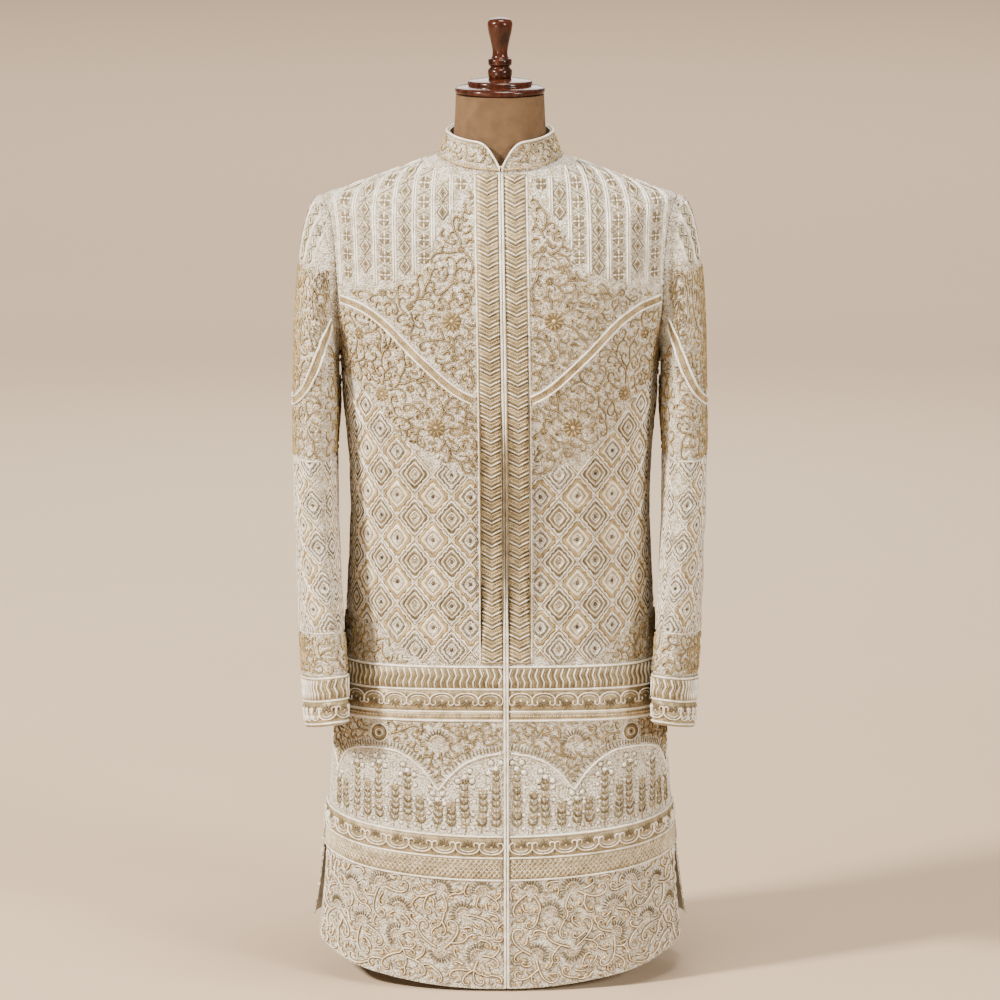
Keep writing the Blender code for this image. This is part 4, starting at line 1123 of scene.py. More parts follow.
def rosette(work, centre, radius, seat=0.0):
    # painted shade under the rosette
    groundShadeDisc(work, centre, radius * 0.95, "shadeThread", seat)
    for k in range(8):
        angle = k * math.pi / 4
        direction = np.array([math.cos(angle), math.sin(angle)])
        leaf(work, centre + direction * radius * 0.26, angle, radius * 0.80, radius * 0.42,
             "silverThread" if k % 2 else "whiteThread", 0.0014, seat=seat)
    addBeads(work, [centre], radius * 0.24, 0.0016, "whiteThread", seat, 6)
    dots = ringPath(centre, radius * 0.62, 8, 1.0, math.pi / 8)
    addBeads(work, dots, 0.0007, 0.0012, "goldBead", seat, 4)


def columnDiamond(work, centre, halfWidth, halfHeight, inside):
    for share, width, finish in ((1.0, 0.0019, "silverThread"), (0.72, 0.0018, "whiteThread"),
                                 (0.46, 0.0015, "goldThread")):
        path = wavyDiamond(centre, halfWidth * share, halfHeight * share, 0.0, 1, 2)
        if inside(path[:, 0], path[:, 1]).all():
            if share == 1.0:
                # painted shade under the diamond
                groundShadeDisc(work, centre, halfWidth * 0.92, "shadeThread")
            addStrand(work, path, width, 0.0013, finish, closed=True)
    addBeads(work, [centre], 0.0028, 0.0009, "mirrorGlass", 0.0, 6, 0.9)


def stripedColumns(work, inside, mirrorSide, center, levels, firstColumn=0.0365, count=9):
    # upright columns between double cords, rosettes and mirrored diamonds in turn
    low, high = levels
    along = np.arange(low, high, 0.005)
    for k in range(count):
        q = 0.0612 + 0.0221 * k + 0.0006 * k * k if firstColumn > 0 else 0.0235 * (k + 0.5)
        for shift in (-0.0015, 0.0015):
            place = center(along) + mirrorSide * (q + shift)
            cord(work, np.stack([place, along], axis=1), 0.0022, 0.0020, "whiteThread", inside, rounded=True)
        middle = q - 0.0118 - 0.0004 * k if firstColumn > 0 else 0.0235 * k
        if firstColumn <= 0 and k == 0 and mirrorSide < 0:
            continue
        motifs = np.arange(low + 0.006 + 0.011 * (k % 2), high, 0.0218)
        for level in motifs:
            centre = np.array([float(center(level)) + mirrorSide * middle, level])
            test = centre[None, :] + np.array([[0, 0], [0.006, 0], [-0.006, 0], [0, 0.007], [0, -0.007]])
            if not inside(test[:, 0], test[:, 1]).all():
                continue
            if k % 2:
                columnDiamond(work, centre, 0.0078, 0.0098, inside)
            else:
                rosette(work, centre, 0.0082)
            for hand in (1, -1):
                for rise in (0.0, -0.0026, 0.0026):
                    cross = centre + np.array([[-0.0080, 0.0109 - 0.004 * hand + rise],
                                               [0.0080, 0.0109 + 0.004 * hand + rise]])
                    cord(work, cross, 0.0011, 0.0010, "paleThread" if rise else "silverThread", inside)


def daisies(work, field, inside, side, center, table):
    seeds = []
    for q, level, radius in table:
        spot = np.array([float(center(level)) + side * q, level])
        if not inside(spot[None, 0], spot[None, 1])[0]:
            continue
        # painted shade under the daisy
        groundShadeDisc(work, spot, radius * 0.86, "shadeThread")
        daisy(work, spot, radius, 11 if radius > 0.010 else 6, "goldThread", turn=0.3 + 9 * q)
        markField(field, ringPath(spot, radius * 0.5, 12), radius * 0.62)
        for k in range(6 if radius > 0.010 else 3):
            angle = 0.5 + k * 2 * math.pi / (6 if radius > 0.010 else 3) + 20 * q
            seeds.append((spot + radius * 0.98 * np.array([math.cos(angle), math.sin(angle)]), angle))
    return seeds


bigDaisies = (
    (0.0626, 0.836, 0.0150), (0.115, 0.853, 0.0065), (0.058, 0.885, 0.0065), (0.050, 0.923, 0.0060),
    (0.060, 0.791, 0.0068), (0.104, 0.799, 0.0065), (0.150, 0.868, 0.0065),
    (0.0847, 0.7028, 0.0150), (0.155, 0.742, 0.0120), (0.116, 0.751, 0.0065), (0.188, 0.815, 0.0100),
    (0.048, 0.700, 0.0065), (0.205, 0.775, 0.0065),
)


def fanMotif(work, field, spot, heading, radius, seat=0.0):
    # silver fan round a gold scalloped heart full of beads
    for k in range(11):
        angle = heading + (k - 5) * 0.27
        direction = np.array([math.cos(angle), math.sin(angle)])
        leaf(work, spot + direction * radius * 0.58, angle, radius * 0.50, radius * 0.17, "shadeThread", 0.0017,
             seat=seat)
    arc = ringPath(spot, radius * 0.50, 11, 1.0, heading - 1.5, 3.0)
    addStrand(work, arc, 0.0020, 0.0014, "goldThread", seat)
    arc = ringPath(spot, radius * 0.62 - 0.001, 11, 1.0, heading - 1.5, 3.0)
    addStrand(work, arc, 0.0012, 0.0010, "whiteThread", seat)
    beads = [spot + radius * share * np.array([math.cos(heading + a), math.sin(heading + a)])
             for share, angles in ((0.12, (-0.8, 0.8)), (0.30, (-1.2, -0.4, 0.4, 1.2))) for a in angles]
    addBeads(work, beads, 0.0011, 0.0012, "goldBead", seat, 5)
    addBeads(work, [spot], 0.0012, 0.0014, "whiteThread", seat, 5)
    if field is not None:
        markField(field, ringPath(spot + radius * 0.45 * np.array([math.cos(heading), math.sin(heading)]),
                                  radius * 0.35, 10), radius * 0.62)


def addStrip(work, grid, lift, finish):
    # flat ground of a band through rows of places. Rows run upwards, places along each from left to right
    rows, n = grid.shape[:2]
    points = np.empty((rows + 2, n, 3))
    for k in range(rows + 2):
        points[k, :, :2] = grid[min(max(k - 1, 0), rows - 1)]
        points[k, :, 2] = lift if 0 < k < rows + 1 else -0.0003
    first = work["count"]
    work["points"].append(points.reshape(-1, 3))
    work["count"] += (rows + 2) * n
    index = np.arange((rows + 2) * n).reshape(rows + 2, n) + first
    top = np.stack([index[:-1, :-1], index[:-1, 1:], index[1:, 1:], index[1:, :-1]], axis=-1).reshape(-1, 4)
    bottom = np.stack([index[0, :-1], index[-1, :-1], index[-1, 1:], index[0, 1:]], axis=-1)
    number = finishIndex(work, finish)
    work["quads"] += [top, bottom]
    work["quadFinish"] += [np.full(len(top), number), np.full(len(bottom), number)]
    for end, flip in ((0, False), (n - 1, True)):
        for k in range(1, rows + 1):
            corner = [index[0, end], index[k, end], index[k + 1, end]]
            work["triangles"].append(np.array([corner[::-1] if flip else corner]))
            work["triangleFinish"].append(np.array([number]))


def bandStrip(work, span, low, high, finish, lift):
    places = np.arange(span[0], span[1] + 0.001, 0.006)
    grid = np.stack(np.meshgrid(places, np.linspace(low, high, 5)), axis=-1)
    addStrip(work, grid, lift, finish)


def levelCord(work, span, level, width=0.0026, height=0.0020, finish="whiteThread", seat=0.0004):
    places = np.arange(span[0], span[1] + 0.001, 0.005)
    path = np.stack([places, np.full(places.shape, level)], axis=1)
    addStrand(work, path, width, height, finish, seat, rounded=True)


def strokeRow(work, span, low, high, pitch, lean, seat=0.0011):
    # tall upright strokes with a kink, white, gold and silver in turn
    places = np.arange(span[0] + pitch * 0.3, span[1] - pitch * 0.4, pitch / 3)
    t = np.array([0.0, 0.28, 0.62, 1.0])
    kink = np.array([0.0, -0.0008, 0.0026, -0.0004]) * lean
    for k, place in enumerate(places):
        finish = ("whiteThread", "goldThread", "silverThread")[k % 3]
        path = np.stack([place + kink, low + 0.0022 + (high - low - 0.0044) * t], axis=1)
        addStrand(work, path, (0.0023, 0.0019, 0.0019)[k % 3], (0.0019, 0.0015, 0.0010)[k % 3], finish, seat)


def archRow(work, span, low, high, pitch, seat=0.0011, up=True):
    # a row of open scrolls, each over a silver fan
    count = max(1, int(round((span[1] - span[0]) / pitch)))
    pitch = (span[1] - span[0]) / count
    middle = (low + high) / 2
    hand = 1 if up else -1
    tall = high - low
    for k in range(count):
        foot = np.array([span[0] + (k + 0.5) * pitch, middle + hand * tall * 0.36])
        for side in (1, -1):
            path, _ = curl((0, 0), 0.0, pitch * 1.16, 1, 1.5 / pitch, 14.5 / pitch)
            path = foot + path * np.array([side, -hand * tall / pitch * 1.22])
            # a dark gold strand under the white cord: its gold edge, with painted shade along it
            addStrand(work, path, 0.0044, 0.0012, "bronzeThread", seat)
            addStrand(work, path, 0.0023, 0.0026, "whiteThread", seat)
            inner, _ = curl((0, 0), 0.0, pitch * 0.36, 1, 1.5 / pitch, 4.0 / pitch)
            inner = foot + np.array([0, -hand * 0.0030]) + inner * np.array([side * 0.86, -hand * tall / pitch * 1.22])
            addStrand(work, inner, 0.0015, 0.0013, "whiteThread", seat)
        heart = foot - np.array([0, hand * tall * 0.38])
        for j in range(5):
            angle = hand * (-math.pi / 2 + (j - 2) * 0.62)
            leaf(work, heart, angle, tall * 0.40, tall * 0.19, "shadeThread", 0.0017, seat=seat)
        addBeads(work, [heart], 0.0018, 0.0018, "whiteThread", seat, 6)
        if k:
            gap = np.array([span[0] + k * pitch, middle + hand * tall * 0.26])
            leaf(work, gap + [0, hand * 0.003], -hand * math.pi / 2, tall * 0.26, 0.0030, "silverThread", 0.0013, seat=seat)
            addBeads(work, [gap - [0, hand * tall * 0.52]], 0.0013, 0.0013, "goldBead", seat, 5)


def beadRow(work, span, level, pitch=0.0042, seat=0.0011, radius=0.0015, finish="goldBead"):
    places = np.arange(span[0] + pitch / 2, span[1] - pitch / 3, pitch)
    addBeads(work, np.stack([places, np.full(places.shape, level)], axis=1), radius, 0.0013, finish, seat, 6)


def crossRow(work, span, low, high, pitch, seat=0.0011):
    # criss-cross of gold threads with a pale bead in every mesh
    tall = high - low
    for hand in (1, -1):
        for start in np.arange(span[0] - tall, span[1] + tall, pitch):
            t = np.linspace(0, 1, 7)
            place = start + hand * tall * 0.8 * t
            path = np.stack([place, low + 0.0016 + (tall - 0.0032) * t], axis=1)
            good = (place > span[0] + 0.001) & (place < span[1] - 0.001)
            if good.sum() > 1:
                addStrand(work, path[good], 0.0014, 0.0015, "paleThread", seat)
    for j, level in enumerate(np.linspace(low + tall * 0.2, high - tall * 0.2, 4)):
        places = np.arange(span[0] + 0.002 + (j % 2) * pitch / 2, span[1] - 0.002, pitch)
        addBeads(work, np.stack([places, np.full(places.shape, level)], axis=1), 0.0014, 0.0014, "whiteThread", seat, 5)


beltRows = {"low": 0.3391, "beads": 0.3504, "scrolls": 0.3781, "high": 0.4058}
borderRows = {"low": 0.1398, "cross": 0.1675, "high": 0.1942}


def dressBelt(work, span, lean):
    rows = beltRows
    bandStrip(work, span, rows["scrolls"], rows["high"], "oliveThread", 0.0012)
    bandStrip(work, span, rows["low"], rows["beads"], "paleThread", 0.0012)
    bandStrip(work, span, rows["beads"] + 0.0001, rows["scrolls"] - 0.0001, "oliveThread", 0.0012)
    for level in rows.values():
        levelCord(work, span, level, 0.0028, 0.0024)
    strokeRow(work, span, rows["scrolls"], rows["high"], 0.0080, lean)
    archRow(work, span, rows["beads"] + 0.0014, rows["scrolls"] - 0.0014, 0.0300)
    middle = (rows["low"] + rows["beads"]) / 2
    bandStrip(work, span, middle - 0.0030, middle + 0.0030, "oliveThread", 0.0017)
    beadRow(work, span, middle, 0.0050, 0.0016)
    beadRow(work, (span[0] + 0.0025, span[1]), middle, 0.0050, 0.0016, 0.0010, "whiteThread")


def dressBorder(work, span):
    rows = borderRows
    bandStrip(work, span, rows["low"], rows["cross"], "oliveThread", 0.0012)
    bandStrip(work, span, rows["cross"] + 0.0001, rows["high"], "oliveThread", 0.0012)
    for level in rows.values():
        levelCord(work, span, level, 0.0028, 0.0024)
    archRow(work, span, rows["cross"] + 0.0014, rows["high"] - 0.0014, 0.0290, up=False)
    crossRow(work, span, rows["low"] + 0.0008, rows["cross"] - 0.0008, 0.0064)


def sprigs(work, inside, span, low, center, side):
    # generic upright sprays: a stem, paired silver leaves and a white bud, with white dots ringed with silver between
    # them
    chance = np.random.default_rng(31 + side)
    for k, q in enumerate(np.arange(span[0], span[1], 0.0185)):
        level = low + 0.004
        foot = np.array([float(center(level)) + side * q, level])
        top = float(np.interp(q, *arch)) - 0.011
        tall = (top - level) * (0.92 if k % 2 == 0 else 0.60)
        if tall < 0.016:
            continue
        t = np.linspace(0, 1, 8)
        sway = 0.0030 * math.sin(k * 2.1)
        stem = foot + np.stack([sway * np.sin(t * 2.6), tall * t], axis=1)
        cord(work, stem, 0.0013, 0.0011, "goldThread", inside)
        pairs = int(tall / 0.0088)
        for j in range(1, pairs + 1):
            spot = foot + np.array([sway * math.sin(j / (pairs + 1) * 2.6), tall * j / (pairs + 1)])
            if not inside(spot[None, 0], spot[None, 1])[0]:
                continue
            for hand in (1, -1):
                leaf(work, spot, math.pi / 2 - hand * 0.85, 0.0135 - 0.0006 * j, 0.0046,
                     ("silverThread", "silverThread", "shadeThread", "oliveThread")[(k + j) % 4], 0.0018, bend=hand * 0.5)
        tip = foot + np.array([sway * math.sin(2.6), tall])
        if inside(tip[None, 0], tip[None, 1] + 0.004)[0]:
            if k % 2 == 0:
                for shift in ((0, 0), (-0.0088, -0.0050), (0.0088, -0.0048), (-0.0060, 0.0076), (0.0062, 0.0078)):
                    heart = tip + np.array(shift)
                    if not inside(heart[None, 0], heart[None, 1] + 0.003)[0]:
                        continue
                    addBeads(work, [heart], 0.0048, 0.0008, "silverThread", 0.0, 8)
                    addBeads(work, [heart], 0.0040, 0.0024, "whiteThread", 0.0, 8)
            else:
                daisy(work, tip, 0.0060, 5, "goldThread", turn=k)
        dot = foot + np.array([side * 0.0092, 0.006])
        dots = dot + np.array([[0, 0], [0, 0.017], [0, 0.034], [0, 0.051]]) + chance.uniform(-0.001, 0.001, (4, 2))
        dots = dots[inside(dots[:, 0], dots[:, 1])]
        for spot in dots:
            addBeads(work, [spot], 0.0036, 0.0007, "silverThread", 0.0, 8)
            addBeads(work, [spot], 0.0029, 0.0019, "whiteThread", 0.0, 8)


def archCords(work, inside, center, side):
    q = np.linspace(0.0, 0.262, 132)
    level = np.interp(q, *arch)
    level = np.where(q < 0.0847, through(q, arch[0][:5], arch[1][:5]), through(q, arch[0][4:13], arch[1][4:13]))
    level = np.where(q > 0.236, np.interp(q, arch[0], arch[1]), level)
    path = np.stack([center(level) + side * q, level], axis=1)
    cord(work, path, 0.0026, 0.0022, "whiteThread", inside, rounded=True)
    ahead = np.gradient(path, axis=0)
    ahead /= np.linalg.norm(ahead, axis=1, keepdims=True)
    out = np.stack([-ahead[:, 1], ahead[:, 0]], axis=1) * side
    for k in range(1, len(path) - 1, 2):
        spot = path[k] + out[k] * 0.0030
        if inside(spot[None, 0], spot[None, 1])[0] and abs(q[k] - 0.0847) > 0.004:
            leaf(work, spot, math.atan2(out[k, 1], out[k, 0]), 0.0086, 0.0027, "silverThread", 0.0014)


def offsetPath(path, away):
    ahead = np.gradient(path, axis=0)
    ahead /= np.linalg.norm(ahead, axis=1, keepdims=True)
    return path + np.stack([-ahead[:, 1], ahead[:, 0]], axis=1) * away


def slimBand(work, path, width, seat=0.0004):
    # gold beaded band between two white cords, along any path
    half = width / 2
    order = path if path[-1, 0] > path[0, 0] else path[::-1]
    grid = np.stack([offsetPath(order, half * share) for share in (-0.9, -0.3, 0.3, 0.9)])
    addStrip(work, grid, 0.0012, "oliveThread")
    for share in (-0.80, 0.80):
        addStrand(work, offsetPath(path, half * share), 0.0026, 0.0024, "whiteThread", seat, rounded=True)
    length = np.concatenate([[0], np.cumsum(np.linalg.norm(np.diff(path, axis=0), axis=1))])
    spots = np.arange(0.002, length[-1] - 0.001, 0.0034)
    for away in (-0.0012, 0.0012):
        line = offsetPath(path, away)
        beads = np.stack([np.interp(spots, length, line[:, 0]), np.interp(spots, length, line[:, 1])], axis=1)
        addBeads(work, beads, 0.0011, 0.0012, "goldBead", 0.0011, 5)


def panelRows(hem, front):
    # each row is a level line, as its height at the side and at the middle, and the angle where the panel ends
    sides = [lines[hem][0]] + [lines[n][0] for n in lineOrder] + [0.435]
    middles = [lines[hem][1]] + [lines[n][1] for n in lineOrder] + [0.435]
    steps = np.linspace(0, len(sides) - 1, 78)
    rows = [(side, middle, math.pi / 2) for side, middle in
            zip(np.interp(steps, range(len(sides)), sides), np.interp(steps, range(len(sides)), middles))]
    rows += [(z, z, math.pi / 2) for z in np.arange(0.443, 0.779, 0.008)]
    for turn in np.radians(np.arange(180, -1, -5)):
        angle, height = armhole(turn if front else -turn)
        rows.append((height, height, angle))
    rows += [(z, z, math.pi / 2) for z in np.linspace(coat["shoulder"], coat["neck"], 14)[1:]]
    return np.array(rows)


seamAngle = coat["seam"] / 2 / 0.12


def frontCloth(side, name, node):
    rows = panelRows("frontHem", True)
    angles = []
    for height, _, edge in rows:
        placket = [float(angleAt(openingX(height) + side * q, height))
                   for q in (0.0004, 0.0040, 0.0120, 0.0210, 0.0300)]
        end = side * (edge - seamAngle)
        angles.append(placket + list(placket[-1] + (end - placket[-1]) * np.arange(1, 35) / 34))
    angles = np.array(angles)
    heights = rows[:, :1] + (rows[:, 1:2] - rows[:, :1]) * np.cos(angles) ** 2
    columns = angles.shape[1]
    corner = np.clip((np.arange(columns) - (columns - 4)) / 3, 0, 1) ** 2
    heights[:6] += 0.0100 * np.linspace(1, 0, 6)[:, None] * corner[None, :]
    outer = lifted(bodyPoint, angles, heights, 0)
    inner = lifted(bodyPoint, angles, heights, -coat["wall"])
    return wallPiece(name, outer, inner, flatPlaces(outer), (node,))


def flatPlaces(points):
    across = np.linalg.norm(np.diff(points, axis=1), axis=2)
    u = np.concatenate([np.zeros((len(points), 1)), np.cumsum(across, axis=1)], axis=1)
    middle = points.shape[1] // 2
    up = np.linalg.norm(np.diff(points[:, middle], axis=0), axis=1)
    v = np.concatenate([[0], np.cumsum(up)])
    return np.stack([u, np.broadcast_to(v[:, None], u.shape)], axis=-1)


def backCloth():
    rows = panelRows("backHem", False)
    angles = np.array([np.linspace(edge + seamAngle, 2 * math.pi - edge - seamAngle, 73) for _, _, edge in rows])
    heights = rows[:, :1] + (rows[:, 1:2] - rows[:, :1]) * np.cos(angles) ** 2
    outer = lifted(bodyPoint, angles, heights, 0)
    inner = lifted(bodyPoint, angles, heights, -coat["wall"])
    return wallPiece("backCloth", outer, inner, flatPlaces(outer), ("back",))


def zeroCenter(level):
    return np.zeros(np.shape(level))


def vineZone(work, inside, span, levels, seeds, style, randomSeed, marks=()):
    field = newField(span, levels, inside)
    for path, radius in marks:
        markField(field, path, radius)
    made = seeds(field) if callable(seeds) else list(seeds)
    growVines(work, field, made, style, randomSeed)
    scatterSeeds(work, field, 0.0056, randomSeed + 1)
    return field


def dressFront(side, sideName):
    span = (0.0, 0.285) if side > 0 else (-0.275, 0.010)
    top = newWork(frontGround)
    clear = onFront(side, 0.0035, 0.0, 2.0, 0.0345)
    columns = both(onFront(side, 0.0025, 0.0, 2.0, 0.0345), between(raised(wedge, 0.0015), 2.0))
    stripedColumns(top, columns, side, openingX, (0.862, 1.028))
    upright = np.arange(0.86, 1.010, 0.005)
    cord(top, np.stack([openingX(upright) + side * 0.0368, upright], axis=1), 0.0022, 0.0020, "whiteThread", columns,
         rounded=True)
    along = np.arange(0.412, 1.0085, 0.005)
    edgeLine = np.stack([openingX(along) + side * 0.0316, along], axis=1)
    cord(top, edgeLine, 0.0023, 0.0016, "whiteThread", None, rounded=True)
    overYoke = both(clear, between(raised(yokeTable, yoke["width"] + 0.0030), raised(wedge, -0.0010)))
    underYoke = both(clear, between(raised(latticeTop, 0.0010), raised(yokeTable, -0.0022)))
    vineZone(top, overYoke, span, (0.72, 1.01), lambda field: daisies(top, field, overYoke, side, openingX, bigDaisies),
             chestVine, 11 + side)
    vineZone(top, underYoke, span, (0.62, 0.87), lambda field: daisies(top, field, underYoke, side, openingX, bigDaisies),
             chestVine, 15 + side)
    latticeZone = both(onFront(side, 0.0035, 0.0, 2.0, 0.0335),
                       between(raised(cornerSpray, 0.004), raised(latticeTop, -0.0015)))
    makeLattice(top, latticeZone, 0.0233, 0.0272, (0.0066 + side * 0.0430, 0.6167), span, (0.40, 0.78))
    spray = both(clear, between(beltRows["high"] + 0.003, raised(cornerSpray, 0.001)))
    vineZone(top, spray, span, (0.40, 0.48), (), denseVine, 19 + side)
    topPiece = seal(top, f"front{sideName}Chest")

    skirt = newWork(frontGround)
    clear = onFront(side, 0.0035, 0.0, 2.0, 0.0045)
    overArch = both(clear, between(raised(arch, 0.0125), beltRows["low"] - 0.0024))

    def shells(field):
        seeds = []
        shell = np.array([float(openingX(0.315)) + side * 0.0857, 0.3105])
        fanMotif(skirt, field, shell, math.pi / 2, 0.0165)
        for heading in (2.6, 0.5, -1.2, 4.3):
            seeds.append((shell + 0.012 * np.array([math.cos(heading), math.sin(heading)]), heading))
        ringSpot = np.array([float(openingX(0.32)) + side * 0.1620, 0.3205])
        groundShadeDisc(skirt, ringSpot, 0.0120, "oliveThread")
        for radius, finish in ((0.0122, "whiteThread"), (0.0096, "shadeThread"), (0.0076, "goldThread"),
                               (0.0050, "whiteThread")):
            addStrand(skirt, ringPath(ringSpot, radius, 18), 0.0021, 0.0017, finish, closed=True)
        addBeads(skirt, [ringSpot], 0.0028, 0.0014, "mirrorGlass", 0.0, 7)
        markField(field, ringPath(ringSpot, 0.007, 12), 0.0090)
        seeds += [(ringSpot + np.array([0.0165, 0.0]), 0.2), (ringSpot - np.array([0.0165, 0.0]), 3.3)]
        return seeds

    vineZone(skirt, overArch, span, (0.25, 0.34), shells, skirtVine, 23 + side)
    overHem = onFront(side, 0.0030, 0.0, 2.0, 0.0042)
    archZone = both(overHem, between(borderRows["high"] + 0.002, beltRows["low"] - 0.002))
    archCords(skirt, archZone, openingX, side)
    garden = both(onFront(side, 0.0040, 0.0, 2.0, 0.0060), between(borderRows["high"] + 0.0022, raised(arch, -0.0024)))
    sprigs(skirt, garden, (0.013, 0.250), borderRows["high"], openingX, side)
    scatterSeeds(skirt, newField(span, (0.19, 0.31), garden), 0.0042, 27 + side, size=0.0034)
    hemZone = both(clear, between(0.0035, borderRows["low"] - 0.0024))

    def hemFans(field):
        seeds = []
        for q, level, heading in ((0.054, 0.096, 2.2), (0.136, 0.094, 1.4), (0.138, 0.060, 2.7), (0.083, 0.048, -1.6),
                                  (0.036, 0.044, 2.4), (0.083, 0.124, 1.3), (0.030, 0.124, 1.8), (0.187, 0.066, 2.0),
                                  (0.205, 0.108, 1.2), (0.236, 0.072, 1.6), (0.160, 0.122, 1.9)):
            spot = np.array([float(openingX(level)) + side * q, level])
            heading = heading if side < 0 else math.pi - heading
            if not isFree(field, spot[None, :]):
                continue
            fanMotif(skirt, field, spot, heading, 0.0160)
            for turn in (2.2, -2.2):
                aim = heading + turn
                seeds.append((spot + 0.006 * np.array([math.cos(aim), math.sin(aim)]), aim))
        return seeds

    vineZone(skirt, hemZone, span, (0.0, 0.142), hemFans, hemVine, 35 + side)
    skirtPiece = seal(skirt, f"front{sideName}Skirt")

    bands = newWork(frontGround)
    for rows, dress in ((beltRows, "belt"), (borderRows, "border")):
        middle = (rows["low"] + rows["high"]) / 2
        edge = float(np.interp(middle, frontGround["levels"], frontEdge)) - 0.0010
        start = float(openingX(middle)) + side * 0.0040
        reach = (start, edge) if side > 0 else (-edge, start)
        if dress == "belt":
            dressBelt(bands, reach, -side)
        else:
            dressBorder(bands, reach)
    q, level = yokeTable
    good = (q > 0.0325) & (q < np.interp(level, frontGround["levels"], frontEdge) - 0.0045)
    path = np.stack([openingX(level[good]) * (side > 0) + side * q[good], level[good] + 0.0058], axis=1)
    slimBand(bands, path, yoke["width"])
    placeName = "left" if side > 0 else "right"
    bandPiece = seal(bands, f"front{sideName}Bands", False,
                     (f"belt_front_{placeName}", f"border_front_{placeName}", f"yoke_band_{placeName}"))

    braid = newWork(frontGround)
    levels = np.linspace(0.4095, opening["top"] + 0.0015, 76)
    across = np.linspace(opening["inner"] - 0.0003, opening["outer"] + 0.0004, 5)
    across = across if side > 0 else -across[::-1]
    grid = np.stack([openingX(levels)[:, None] + across[None, :],
                     np.broadcast_to(levels[:, None], (len(levels), 5))], axis=-1)
    addStrip(braid, grid, 0.0010, "oliveThread")
    t = np.linspace(0, 1, 7)
    shape = np.abs(2 * t - 1) ** 0.9
    # the shade-thread rows are painted shadow under the white zigzag and under the lowest pale row
    rowsDown = ((0.0, 0.0021, 0.0024, "whiteThread"), (-0.0023, 0.0020, 0.0009, "shadeThread"),
                (-0.0044, 0.0019, 0.0014, "paleThread"), (-0.0093, 0.0018, 0.0014, "paleThread"),
                (-0.0117, 0.0020, 0.0009, "shadeThread"))
    for base in np.arange(0.4095 + 0.0020, opening["top"] + 0.012, opening["pitch"]):
        for shift, width, rise, finish in rowsDown:
            level = base + shift + opening["drop"] * shape
            q = opening["inner"] + 0.0008 + (opening["outer"] - opening["inner"] - 0.0016) * t
            path = np.stack([openingX(level) + side * q, level], axis=1)
            path = path[(level > 0.4095) & (level < opening["top"] + 0.001)]
            if len(path) > 1:
                addStrand(braid, path, width, rise, finish, 0.0009)
        beads = np.linspace(0.06, 0.94, 9)
        level = base - 0.0068 + opening["drop"] * np.abs(2 * beads - 1) ** 0.9
        q = opening["inner"] + (opening["outer"] - opening["inner"]) * beads
        spots = np.stack([openingX(level) + side * q, level], axis=1)
        addBeads(braid, spots[(level > 0.411) & (level < opening["top"] + 0.001)], 0.0011, 0.0012, "goldBead", 0.0009, 5)
    braidPiece = seal(braid, f"front{sideName}Braid", False, (f"chevron_{placeName}",))
    return [topPiece, skirtPiece, bandPiece, braidPiece]


